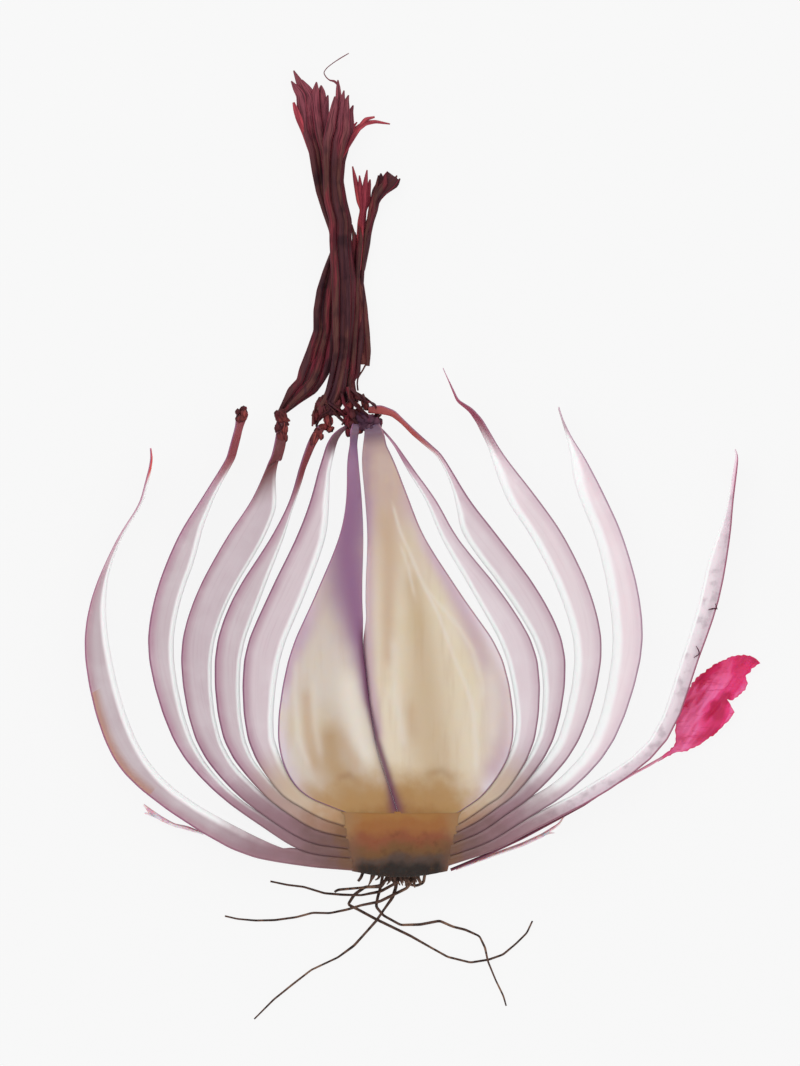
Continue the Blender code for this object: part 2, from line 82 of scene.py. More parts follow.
def node(tree, kind, sockets=(), **settings):
    """Adds one node. Sockets are given by name or number, each with a value or an output to link."""
    made = tree.nodes.new(kind)
    for key, value in settings.items():
        setattr(made, key, value)
    for key, value in dict(sockets).items():
        if isinstance(value, bpy.types.NodeSocket):
            tree.links.new(value, made.inputs[key])
        else:
            made.inputs[key].default_value = linear(value) if isinstance(value, str) else value
    return made.outputs


def finish(name, **values):
    """A new material with one Principled shader, whose sockets take these values."""
    made = bpy.data.materials.new(name)
    made.use_nodes = True
    shader = made.node_tree.nodes["Principled BSDF"]
    for key, value in values.items():
        key = key.replace("_", " ")
        shader.inputs[key].default_value = linear(value) if isinstance(value, str) else value
    return made, made.node_tree, shader.inputs


# %% The light table and the light above it
TABLE_SIZE, TABLE_GLOW, ROOM_GLOW, WHITE = 1.6, 0.96, 0.93, "#F7F7F7"
SOFTBOX_SIZE, SOFTBOX_WATTS = 0.5, 0.95
bm = bmesh.new()
bmesh.ops.create_grid(bm, x_segments=1, y_segments=1, size=TABLE_SIZE)
bmesh.ops.translate(bm, verts=bm.verts, vec=(0, 0, -0.05 * MM))
table_mesh = bpy.data.meshes.new("light_table")
bm.to_mesh(table_mesh)
bm.free()
table = bpy.data.objects.new("light_table", table_mesh)
bpy.context.scene.collection.objects.link(table)
opal, tree, sockets = finish("opal acrylic", Roughness=0.9, Base_Color="#3C3C3C", Specular_IOR_Level=0.0)
sockets["Emission Color"].default_value = linear(WHITE)
sockets["Emission Strength"].default_value = TABLE_GLOW
table_mesh.materials.append(opal)

world = bpy.data.worlds.new("soft white studio")
world.use_nodes = True
world.node_tree.nodes["Background"].inputs["Color"].default_value = linear(WHITE)
world.node_tree.nodes["Background"].inputs["Strength"].default_value = ROOM_GLOW
bpy.context.scene.world = world

softbox = bpy.data.objects.new("softbox", bpy.data.lights.new("softbox", "AREA"))
softbox.data.shape = "DISK"
softbox.data.size = SOFTBOX_SIZE
softbox.data.energy = SOFTBOX_WATTS
softbox.location = (-0.25, 0.35, 0.6)
softbox.rotation_euler = (Vector((0, 0.03, 0)) - softbox.location).to_track_quat("-Z", "Y").to_euler()
bpy.context.scene.collection.objects.link(softbox)
print("stage ready")

# %% [markdown]
# ## Reading a layer's two edges from the frame
#
# Every layer in the frame is a slab with four long edges. Its upper face is bounded by an outer and an
# inner edge, a short foot at the plate and a short tip. Walking round that face gives both edges, so the
# finished layer follows the frame with no measuring. The corners of the frame's facets are smoothed away.

# %% Walk round the upper face


def rim(name):
    """The corners of a node's upper face, in order, as rows of (x, y, z)."""
    bm = bmesh.new()
    bm.from_mesh(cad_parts[name].data)
    bmesh.ops.remove_doubles(bm, verts=bm.verts, dist=0.001 * MM)
    bm.normal_update()
    lid = {f for f in bm.faces
           if f.normal.z > 0.5 or (f.normal.z > 0.3 and f.calc_center_median().z > 2.5 * MM)}
    border = [e for e in bm.edges if len(lid.intersection(e.link_faces)) == 1]
    walk = [border[0].verts[0], border[0].verts[1]]
    while walk[-1] is not walk[0]:
        ahead = [e.other_vert(walk[-1]) for e in walk[-1].link_edges if e in set(border)]
        walk.append(next(v for v in ahead if v is not walk[-2]))
    points = np.array([v.co for v in walk[:-1]]) / MM
    bm.free()
    return points


def turns(points):
    """How sharply a closed walk turns at each point, in radians."""
    ahead = np.roll(points, -1, 0) - points
    angle = np.arctan2(ahead[:, 1], ahead[:, 0])
    return np.abs((angle - np.roll(angle, 1) + math.pi) % math.tau - math.pi)


def distance_to_line(points, line):
    """The distance from each point to the nearest point of a line of points, in plan."""
    best = np.full(len(points), np.inf)
    for a, b in zip(line[:-1], line[1:]):
        a, b = np.array(a[:2], float), np.array(b[:2], float)
        along = np.clip(((points[:, :2] - a) @ (b - a)) / max((b - a) @ (b - a), 1e-12), 0, 1)
        best = np.minimum(best, np.hypot(*(points[:, :2] - a - along[:, None] * (b - a)).T))
    return best


def two_edges(name):
    """The two long edges of a node's upper face, from the foot to the tip, the outer one first."""
    points = rim(name)
    middles = (points + np.roll(points, -1, 0)) / 2
    foot = int(np.argmin(distance_to_line(middles, np.vstack([plate_rim, plate_rim[:1]]))))
    points = np.roll(points, -foot - 1, 0)
    turn = turns(points) + np.roll(turns(points), -1)
    third = len(points) // 3
    tip = third + int(np.argmax(turn[third:-third]))
    one, other = points[:tip + 1], points[tip + 1:][::-1]
    swap = np.abs(one[:, 0]).mean() < np.abs(other[:, 0]).mean()
    return (other, one) if swap else (one, other)


plate_rim = rim("basal_plate")
print("corners of the plate's upper face:", len(plate_rim))


# %% Even, smooth edges
def even(points, count, soften=2.0):
    """The same line with that many evenly spaced points, and the corners of its facets rounded off."""
    gaps = np.hypot(*np.diff(points[:, :2], axis=0).T)
    reach = np.concatenate([[0], np.cumsum(gaps)])
    fine = np.linspace(0, reach[-1], 1200)
    line = np.stack([np.interp(fine, reach, points[:, k]) for k in range(points.shape[1])], 1)
    half = max(1, int(soften / reach[-1] * 600))
    for _ in range(2):
        padded = np.vstack([2 * line[0] - line[half:0:-1], line, 2 * line[-1] - line[-2:-half - 2:-1]])
        total = np.vstack([np.zeros(line.shape[1]), np.cumsum(padded, 0)])
        line = (total[2 * half + 1:] - total[:-2 * half - 1]) / (2 * half + 1)
    return line[np.linspace(0, len(line) - 1, count).round().astype(int)]

# %% [markdown]
# ## Cut flesh as a mesh
#
# A cut layer is a curved strip with nearly upright walls. Its outer edge is crisp, because the tough skin
# of the layer ends there, and its inner edge is soft and rounded. A flat grid is the easiest start: its
# length is laid along the layer, its width once round the section. Then the seam is merged and the two
# ends are filled. Each point remembers how deep under the skin it is, how far from the inner edge, and
# how far along the layer, so the colours can follow the flesh.

# %% One cut piece
# The radii of the crisp and the soft edge. Towards the table the outer walls lean in by FAR_SHRINK of their
# distance from the bulb's centre, as in the frame, and the inner walls stand under their edge by UNDERCUT
# of it. A strip under NARROW mm wide counts as that wide where colours follow the inner edge.
CRISP, SOFT = 0.2, 0.55
FAR_SHRINK, UNDERCUT = 0.035, 0.009
NARROW = 2.6
BULB_CENTRE = np.array((0.0, 22.0))


def section(width, base, top, columns, edges=(CRISP, SOFT)):
    """Once round a cut: rows of (distance from the outer edge, height), from its base up and over."""
    crisp, soft = min(edges[0], 0.25 * width), min(edges[1], 0.45 * width)
    drop, low = 0.5 * min(soft, top - base), 0.12 * min(1.0, width)
    turn = np.linspace(0, math.pi / 2, 6)
    wall = np.linspace(0, 1, 6)
    rows = [(low, base), (0.0, base + low)]
    rows += [(0.0, base + low + (top - crisp - base - low) * t) for t in wall[1:]]
    rows += [(crisp * (1 - math.cos(t)), top - crisp * (1 - math.sin(t))) for t in turn[1:]]
    rows += [(crisp + (width - crisp - soft) * t, top) for t in np.linspace(0, 1, columns)[1:]]
    rows += [(width - soft * (1 - math.sin(t)), top - drop * (1 - math.cos(t))) for t in turn[1:]]
    rows += [(width, (top - drop - base - low) * (1 - t) + base + low) for t in wall[1:]]
    rows += [(width - low, base), (width / 2, base), (low, base)]
    return np.array(rows)


def cut_piece(name, outer, inner, columns, relief=None, edges=(CRISP, SOFT), dries=1.0):
    """A closed strip of flesh between two edges that have the same number of points. Past `dries`, a share
    of its length, it has shrunk to a thread that no longer reaches down to the table."""
    stations = len(outer)
    widths = np.hypot(*(inner - outer)[:, :2].T)
    tops = np.minimum((outer[:, 2] + inner[:, 2]) / 2, SLICE)
    around = len(section(1.0, 0.0, SLICE, columns))
    reach = np.concatenate([[0], np.cumsum(np.hypot(*np.diff((outer + inner)[:, :2] / 2, axis=0).T))])
    bm = bmesh.new()
    bmesh.ops.create_grid(bm, x_segments=stations - 1, y_segments=around - 1, size=0.5)
    skin = bm.verts.layers.float.new("skin_mm")
    core = bm.verts.layers.float.new("core_mm")
    along = bm.verts.layers.float.new("along_mm")
    share = bm.verts.layers.float.new("along")
    shrunk = np.clip((reach / reach[-1] - dries) / max(1 - dries, 0.01), 0, 1) ** 1.5
    bases = shrunk * np.maximum(tops - 1.3 * widths - 0.5, 0)
    rows = [section(w, b, t, columns, edges) for w, b, t in zip(widths, bases, tops)]
    for vert in bm.verts:
        i = round((vert.co.x + 0.5) * (stations - 1))
        d, z = rows[i][round((vert.co.y + 0.5) * (around - 1))]
        place = outer[i, :2] + (inner[i, :2] - outer[i, :2]) * d / max(widths[i], 1e-6)
        vert[skin], vert[core] = d, (widths[i] - d) * max(1.0, NARROW / max(widths[i], 0.1))
        vert[along], vert[share] = reach[i], reach[i] / reach[-1]
        if relief and z > 0.9 * tops[i]:
            z += relief(place, d, widths[i] - d, reach[i])
        lean = FAR_SHRINK * (1 - min(z, SLICE) / SLICE) ** 2 * np.hypot(*(place - BULB_CENTRE))
        share_in = d / max(widths[i], 1e-6)
        under = UNDERCUT * (1 - min(z, SLICE) / SLICE) * np.hypot(*(place - BULB_CENTRE))
        lean = min(lean, 0.35 * widths[i]) * (1 - share_in) - min(under, 0.3 * widths[i]) * share_in
        place = place + (inner[i, :2] - outer[i, :2]) * lean / max(widths[i], 1e-6)
        vert.co = Vector((*place, z)) * MM
    bmesh.ops.remove_doubles(bm, verts=bm.verts, dist=0.0005 * MM)
    bmesh.ops.holes_fill(bm, edges=[e for e in bm.edges if e.is_boundary])
    bmesh.ops.recalc_face_normals(bm, faces=bm.faces)
    return add_piece(name, bm)


def add_piece(name, bm, sharp=50):
    """Makes the object from a bmesh. Its corners over `sharp` degrees stay sharp."""
    mesh = bpy.data.meshes.new(name)
    bm.to_mesh(mesh)
    bm.free()
    mesh.shade_smooth()
    mesh.set_sharp_from_angle(angle=math.radians(sharp))
    piece = bpy.data.objects.new(name, mesh)
    bpy.context.scene.collection.objects.link(piece)
    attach(piece, "root")
    return piece


def veins(place, d, core, reach):
    """The cut flesh isn't flat: faint veins run along it, and it sinks a little between them."""
    ripple = noise.noise(Vector((reach * 0.12, d * 2.2, place[0] * 0.05)))
    return 0.035 * ripple * min(1.0, d / 0.4, core / 0.6) - 0.02


# %% Build the ten layers
BACK_TO_PLATE = 0.28
LAYER_POINTS, LAYER_COLUMNS = 170, 14
HEART_POINTS, HEART_COLUMNS = 220, 80


def reach_plate(edge):
    """Carries an edge on to the plate, over the small gap that the frame leaves there."""
    step = edge[0] - edge[1]
    return np.vstack([edge[0] + step * BACK_TO_PLATE / np.hypot(*step[:2]), edge])


def narrow(outer, inner, start, end, width):
    """From `start` to `end`, shares of its length, the strip shrinks to `width` mm along its outer edge."""
    gone = np.clip((np.linspace(0, 1, len(outer)) - start) / (end - start), 0, 1)
    gone = gone * gone * (3 - 2 * gone)
    wide = np.hypot(*(inner - outer)[:, :2].T)
    slim = wide + (np.minimum(width, wide) - wide) * gone
    inner = inner.copy()
    inner[:, :2] = outer[:, :2] + (inner - outer)[:, :2] * (slim / wide)[:, None]
    return outer, inner


def dry_tip(outer, inner, keep, rows):
    """Keeps that share of a strip, and carries it on along rows of (x, y, z, width): its dried tip."""
    count = int(keep * len(outer))
    rows = np.array(rows)
    path = np.vstack([(outer[count - 1] + inner[count - 1])[:2] / 2, rows[:, :2]])
    across = np.gradient(path, axis=0)[1:, ::-1] * (1, -1)
    across /= np.hypot(*across.T)[:, None]
    if (across[0] @ (inner[count - 1] - outer[count - 1])[:2]) < 0:
        across = -across
    sides = [np.hstack([rows[:, :2] + across * rows[:, 3:] * half, rows[:, 2:3]]) for half in (-0.5, 0.5)]
    return [even(np.vstack([edge[:count], side]), len(outer), 0.7)
            for edge, side in zip((outer, inner), sides)]


DRIES = {"left_scale_1": 0.93, "left_scale_2": 0.9, "left_scale_3": 0.88, "left_scale_4": 0.85,
         "left_scale_5": 0.9, "right_scale_1": 0.88, "right_scale_2": 0.82, "right_scale_3": 0.8,
         "right_scale_4": 0.95, "right_scale_5": 0.96}
NARROWS = {"left_scale_1": (0.6, 0.9, 0.5), "left_scale_2": (0.68, 0.9, 1.3),
           "left_scale_3": (0.8, 0.93, 1.5),
           "left_scale_4": (0.72, 0.88, 1.0), "right_scale_2": (0.7, 0.86, 0.75),
           "right_scale_5": (0.75, 1.0, 0.5),
           "right_scale_4": (0.85, 1.0, 0.6)}
TIPS = {
    "left_scale_1": (0.93, [(-32.5, 49.14, 5.6, 0.4), (-32.3, 50.44, 5.4, 0.4), (-32.44, 51.74, 5.2, 0.3)]),
    "left_scale_2": (0.92, [(-21.25, 53.17, 5.8, 1.15), (-20.93, 54.47, 5.6, 1.1), (-20.67, 55.64, 5.4, 1.5),
                            (-20.48, 56.55, 5.2, 1.5)]),
    "left_scale_3": (0.92, [(-16.12, 50.18, 5.8, 1.5), (-15.67, 51.87, 5.6, 1.55), (-15.41, 53.43, 5, 1.6),
                            (-15.28, 54.99, 4.2, 1.55)]),
    "left_scale_4": (0.88, [(-12.22, 50.44, 5.6, 1), (-11.57, 52.13, 5.2, 1.15), (-10.92, 53.43, 4.6, 1.35),
                            (-10.27, 54.47, 3.8, 1.3)]),
    "left_scale_5": (0.9, [(-8.97, 52, 5.6, 1.3), (-8.45, 53.17, 5, 1.1), (-7.67, 54.08, 4.2, 0.9),
                           (-6.76, 54.73, 3.4, 0.8)]),
    "right_scale_1": (0.9, [(-0.65, 52.13, 5.2, 0.45), (-1.56, 53.3, 4.6, 0.45), (-2.34, 54.21, 3.8, 0.5)]),
    "right_scale_2": (0.87, [(1.82, 53.69, 5.4, 0.8), (0.39, 55.12, 5, 0.75), (-0.91, 56.29, 4.6, 1.05),
                             (-2.6, 56.81, 4.2, 1.45), (-4.16, 56.81, 3.4, 1.3)]),
    "right_scale_3": (0.85, [(10.3, 55.3, 5.4, 1.0), (9.2, 56.7, 5.2, 0.75), (7.5, 57.9, 4.8, 0.5),
                             (6.5, 60.2, 4.4, 0.4), (5.6, 62.2, 4.0, 0.25)])}


def meet(edge, other, high=0.26, most=0.8):
    """Near the plate the layers are grown together: this edge closes up to the next layer's outer edge."""
    gap = distance_to_line(edge, other[::3])
    away = np.gradient(edge[:, :2], axis=0)[:, ::-1] * (1, -1)
    away /= np.hypot(*away.T)[:, None]
    third = len(edge) // 3
    side = np.sign((other[third, :2] - edge[third, :2]) @ away[third])
    share = np.clip((high - np.linspace(0, 1, len(edge))) / 0.08, 0, 1) * np.clip((most - gap) / 0.3, 0, 1)
    edge = edge.copy()
    edge[:, :2] += away * (side * share * (gap + 0.05))[:, None]
    return edge


ROUNDING = {"right_scale_5": 0.5}
layers, outers = {}, {}
for name in DRIES:
    edges = [even(reach_plate(edge), LAYER_POINTS, ROUNDING.get(name, 1.2)) for edge in two_edges(name)]
    if name in NARROWS:
        edges = narrow(*edges, *NARROWS[name])
    if name in TIPS:
        edges = dry_tip(*edges, *TIPS[name])
    outers[name], layers[name] = edges[0], edges
for side in ("left", "right"):
    outers[f"heart_{side}"] = even(reach_plate(two_edges(f"heart_{side}")[0]), HEART_POINTS, 1.5)
NEXT_IN = {f"left_scale_{n}": f"left_scale_{n + 1}" for n in (1, 2, 3, 4)}
NEXT_IN |= {f"right_scale_{n}": f"right_scale_{n - 1}" for n in (2, 3, 4, 5)}
NEXT_IN |= {"left_scale_5": "heart_left", "right_scale_1": "heart_right"}
for name, (outer, inner) in layers.items():
    side, number = name[:-8], name[-1]
    inner = meet(inner, outers[NEXT_IN[name]])
    layers[name] = cut_piece(f"{side}_layer_{number}", outer, inner, LAYER_COLUMNS, veins, dries=DRIES[name])
    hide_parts(name)
print("layers:", len(layers), "with", sum(len(p.data.polygons) for p in layers.values()), "faces")

# %% [markdown]
# ## The finish of moist onion flesh
#
# A cut onion layer is watery and lets light through. Its outer skin is a line of dark purple cells, the
# flesh under it is mauve to pink, and it pales to nearly white at the inner edge. The band nearest the
# inner edge is painted pure white: partly the flesh's own pale inner side, partly painted glow of the
# table's light shining through the thin rounded edge. Towards the plate the purple gathers, and the tips
# dry to maroon. Light enters the flesh and comes out a few millimetres away, which is what subsurface
# scattering does, and a thin coat gives the wet gloss.

# %% Moist flesh
SMOOTH = {"interpolation_type": "SMOOTHSTEP"}


def size_mm(size):
    """The scale of a noise texture on Object coordinates whose patches are this many millimetres wide."""
    return 1 / (size * MM)


def coats(tree, base, *layers_over):
    """Lays colours over a base one by one, each as (colour, how much of it). The amount is an output, or a
    smooth ramp: (value, where the colour starts, where it is full, and how much of it there is then)."""
    for colour, amount in layers_over:
        if isinstance(amount, tuple):
            value, start, full, most = (*amount, 1.0)[:4]
            amount = node(tree, "ShaderNodeMapRange", {0: value, 1: start, 2: full, 4: most}, **SMOOTH)[0]
        base = node(tree, "ShaderNodeMix", {0: amount, 6: base, 7: colour}, data_type="RGBA")[2]
    return base


def measured(tree, name):
    """The value that a piece's own points carry under this name."""
    return node(tree, "ShaderNodeAttribute", attribute_name=name)["Fac"]


def surface(tree, sockets, colour, pattern, dull, strength, height, fine=None):
    """Gives a finish its colour, a roughness that runs between the two `dull` values with its pattern, and
    bumps of that height in mm that follow the pattern, or a finer one."""
    tree.links.new(colour, sockets["Base Color"])
    rough = node(tree, "ShaderNodeMapRange", {0: pattern, 1: 0.3, 2: 0.7, 3: dull[0], 4: dull[1]})[0]
    tree.links.new(rough, sockets["Roughness"])
    bump = node(tree, "ShaderNodeBump", {"Strength": strength, "Distance": height * MM,
                                         "Height": pattern if fine is None else fine})[0]
    tree.links.new(bump, sockets["Normal"])


def rooted(tree, place, colour, *near):
    """Everything darkens where it grows together at the plate. Each of `near` is (colour, from, to), in
    plate widths from the middle of the plate."""
    patch = node(tree, "ShaderNodeTexNoise", {"Vector": place, "Scale": size_mm(2.5), "Detail": 4.0})[0]
    squashed = node(tree, "ShaderNodeMapping", {"Vector": place, "Location": (0.06, -0.09, 0),
                                                "Scale": (111.0, 180.0, 0.0)})[0]
    far = node(tree, "ShaderNodeVectorMath", {0: squashed}, operation="LENGTH")["Value"]
    far = node(tree, "ShaderNodeMath", {0: patch, 1: 0.7, 2: far}, operation="MULTIPLY_ADD")[0]
    return coats(tree, colour, *((shade, (far, start, end)) for shade, start, end in near))


def moist_flesh(name, line, outer, middle, inner, foot, tip, pale=1.2, dry=0.88, low=0.26, patch=5.0,
                patchy=0.15, blush=0.0, near=(("#98767E", 3.4, 1.9), ("#7C5C5A", 2.1, 1.4),
                                              ("#7A5640", 1.5, 1.1))):
    """Onion flesh from its skin line to its inner edge, and from its foot to its dry tip."""
    made, tree, sockets = finish(name, IOR=1.4, Subsurface_Weight=1.0, Subsurface_Scale=0.0016,
                                 Coat_Weight=0.25, Coat_Roughness=0.2, Specular_IOR_Level=0.3)
    sockets["Subsurface Radius"].default_value = (1.0, 0.85, 0.9)
    skin, core, along, reach = (measured(tree, n) for n in ("skin_mm", "core_mm", "along", "along_mm"))
    place = node(tree, "ShaderNodeTexCoord")["Object"]
    cloud = node(tree, "ShaderNodeTexNoise", {"Vector": place, "Scale": size_mm(patch), "Detail": 3.0})[0]
    vein_place = node(tree, "ShaderNodeCombineXYZ", {
        0: node(tree, "ShaderNodeMath", {0: reach, 1: 0.09}, operation="MULTIPLY")[0],
        1: node(tree, "ShaderNodeMath", {0: skin, 1: 2.6}, operation="MULTIPLY")[0]})[0]
    vein = node(tree, "ShaderNodeTexNoise", {"Vector": vein_place, "Scale": 1.0, "Detail": 4.0})[0]
    lined = node(tree, "ShaderNodeMapRange", {0: skin, 1: 0.34, 2: 0.1}, **SMOOTH)[0]
    warm = node(tree, "ShaderNodeMath", {0: along, 1: 0.47, 2: 0.1}, operation="COMPARE")[0]
    warm = node(tree, "ShaderNodeMath", {0: warm, 1: node(tree, "ShaderNodeMapRange", {
        0: skin, 1: 0.2, 2: 1.8, 3: blush, 4: 0.0}, **SMOOTH)[0]}, operation="MULTIPLY")[0]
    # The pure white coat at the inner edge is partly the flesh's own pale inner side, partly painted glow of
    # the table's light through the thin edge.
    colour = coats(tree, outer, (middle, (skin, 0.2, 1.6)), (outer, (vein, 0.5, 0.75, 0.25)),
                   (inner, (cloud, 0.45, 0.7, patchy)), ("#FFFFFF", (core, pale, pale * 0.4)),
                   ("#B8907E", warm), (foot, (along, low, 0.02)), (tip, (along, dry, 0.5 + dry / 2)),
                   (line, lined))
    joined = node(tree, "ShaderNodeMapRange", {0: along, 1: 0.4, 2: 0.08, 4: 0.5}, **SMOOTH)[0]
    joined = node(tree, "ShaderNodeMath", {0: joined, 1: lined}, operation="MULTIPLY")[0]
    colour = coats(tree, rooted(tree, place, colour, *near), ("#5C3A44", joined))
    grain = node(tree, "ShaderNodeTexNoise", {"Vector": place, "Scale": size_mm(0.35), "Detail": 2.0})[0]
    surface(tree, sockets, colour, cloud, (0.3, 0.45), 0.25, 0.02, grain)
    return made


# `pale` is how many mm in from a layer's inner edge the painted white glow reaches, over its own pale inner
# flesh.
LAYER_COLOURS = {
    "left_scale_1": dict(blush=0.85, line="#8A5570", outer="#B597A1", middle="#C8B9BE", inner="#F1EEEF",
                         foot="#A07F8E", tip="#C0483E", pale=1.1, dry=0.93, low=0.3),
    "left_scale_2": dict(line="#7E4C68", outer="#B795A4", middle="#CDBEC3", inner="#EFEAEC",
                         foot="#8A687A", tip="#8E444C", pale=0.9, dry=0.84),
    "left_scale_3": dict(line="#7A4864", outer="#B18F9D", middle="#CDBDC3", inner="#EDE8EA",
                         foot="#82606F", tip="#6E3438", pale=0.75, dry=0.82),
    "left_scale_4": dict(line="#7A4864", outer="#B794A3", middle="#D0C1C6", inner="#EDE8EA",
                         foot="#85636F", tip="#7A2E36", pale=0.7, dry=0.80),
    "left_scale_5": dict(line="#7A4A66", outer="#B898A6", middle="#D8C9CE", inner="#F1EDEF",
                         foot="#8E6F7A", tip="#6B4A52", pale=1.1, dry=0.90),
    "right_scale_1": dict(line="#8E6579", outer="#CDB7C0", middle="#E0D2D7", inner="#F3EFF1",
                          foot="#96727F", tip="#A67D90", pale=0.9, dry=0.85),
    "right_scale_2": dict(line="#855C71", outer="#C9B3BC", middle="#DED0D5", inner="#F3EFF1",
                          foot="#8C6877", tip="#A04A48", pale=1.0, dry=0.80),
    "right_scale_3": dict(line="#8A6577", outer="#D3C0C8", middle="#E5D8DC", inner="#F4F1F2",
                          foot="#8E6B7B", tip="#8A4056", pale=1.4, dry=0.80),
    "right_scale_4": dict(line="#96788A", outer="#DCCBD2", middle="#EBDEE2", inner="#F5F3F4",
                          foot="#99808A", tip="#A9979D", pale=1.7, dry=0.93),
    "right_scale_5": dict(line="#8A4A62", outer="#D2C2CA", middle="#E9E0E4", inner="#B3A4AC",
                          foot="#8C6C69", tip="#D9B9C5", pale=0.6, dry=0.9, patch=1.5, patchy=0.55),
}
TAN_FOOT = (("#CDB7A2", 3.4, 2.1), ("#B8936F", 2.1, 1.4), ("#9A7248", 1.5, 1.1))
BROWN_FOOT = (("#B89C92", 3.3, 2.0), ("#9E7862", 2.1, 1.4), ("#8A6446", 1.5, 1.1))
LAYER_COLOURS["left_scale_5"]["near"] = LAYER_COLOURS["right_scale_1"]["near"] = TAN_FOOT
LAYER_COLOURS["left_scale_4"]["near"] = LAYER_COLOURS["right_scale_2"]["near"] = BROWN_FOOT
for name, colours in LAYER_COLOURS.items():
    layers[name].data.materials.append(moist_flesh(f"moist onion flesh {name}", **colours))
print("flesh finishes:", len(LAYER_COLOURS))

# %% [markdown]
# ## The two hearts
#
# The hearts are cut in the same way, but they are far wider, and the light shows what is inside them:
# pale lines where one inner leaf ends and the next begins, an ochre bud at the foot of each, and violet
# flesh where the left heart narrows. Each of these is laid on as a few soft strokes along the lines of
# growth. A stroke is written to the points it passes, so the pattern is part of the piece.

# %% Heart pieces
SEAM_CLOSES, SEAM_BOW = 29.5, 0.45


def close_seam(edge, other):
    """Below the split, the hearts touch: their seam edges move to the line halfway between them."""
    order = np.argsort(other[:, 1])
    halfway = (edge[:, 0] + np.interp(edge[:, 1], other[order, 1], other[order, 0])) / 2
    halfway -= SEAM_BOW * np.clip((edge[:, 1] - 4.0) / 8.0, 0, 1)
    amount = np.clip((SEAM_CLOSES - edge[:, 1]) / 3.0, 0, 1)
    edge = edge.copy()
    edge[:, 0] += (halfway - edge[:, 0]) * amount
    return edge


def groove(place, d, core, reach):
    """The cut face of a heart is smooth and slightly domed, with faint fibres along it."""
    return 0.03 * noise.noise(Vector((place[0] * 0.9, place[1] * 0.12, 0))) * min(1, d / 2, core / 2)


seam = {name: even(two_edges(name)[1], HEART_POINTS, 1.0) for name in ("heart_left", "heart_right")}
HEART_TIPS = {
    "heart_left": (0.97, [(-5.92, 53.95, 5.2, 1.25), (-5.72, 54.86, 4.2, 1.2)]),
    "heart_right": (0.97, [(-3.38, 53.69, 5.4, 2.6), (-3.64, 54.73, 4.4, 2.2)])}
hearts = {}
for name, other in (("heart_left", "heart_right"), ("heart_right", "heart_left")):
    outer = even(reach_plate(two_edges(name)[0]), HEART_POINTS, 1.5)
    inner = even(reach_plate(close_seam(seam[name], seam[other])), HEART_POINTS, 0.6)
    outer, inner = dry_tip(outer, inner, *HEART_TIPS[name])
    hearts[name] = cut_piece(name.replace("heart", "heart_cut"), outer, inner, HEART_COLUMNS, groove)
    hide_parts(name)
print("hearts:", {name: len(piece.data.polygons) for name, piece in hearts.items()})


# %% Strokes of colour along the lines of growth
def stroke_amount(points, stroke, strength):
    """How strongly a soft stroke, rows of (x, y, half width), covers each point."""
    amount = np.zeros(len(points))
    for a, b in zip(np.array(stroke)[:-1], np.array(stroke)[1:]):
        step = b[:2] - a[:2]
        along = np.clip(((points - a[:2]) @ step) / (step @ step), 0, 1)
        gap = np.hypot(*(points - a[:2] - along[:, None] * step).T)
        half = a[2] + (b[2] - a[2]) * along
        amount = np.maximum(amount, strength * np.exp(-((gap / half) ** 2)))
    ends = [np.hypot(*(points - np.array(end[:2])).T) / (2.2 * end[2] + 0.6)
            for end in (stroke[0], stroke[-1])]
    return amount * np.clip(np.minimum(*ends), 0.25, 1)


def stain(piece, name, strokes, sink=0.0):
    """Writes strokes to the piece's points, and sinks its upper face by that much where they are full."""
    places = np.zeros(len(piece.data.vertices) * 3, np.float32)
    piece.data.vertices.foreach_get("co", places)
    places = places.reshape(-1, 3) / MM
    total = np.zeros(len(places))
    for strength, stroke in strokes:
        total = np.maximum(total, stroke_amount(places[:, :2], stroke, strength))
    piece.data.attributes.new(name, "FLOAT", "POINT").data.foreach_set("value", total.astype(np.float32))
    if sink:
        places[:, 2] -= np.where(places[:, 2] > SLICE - 0.5, total * sink, 0.0)
        piece.data.vertices.foreach_set("co", (places * MM).astype(np.float32).ravel())


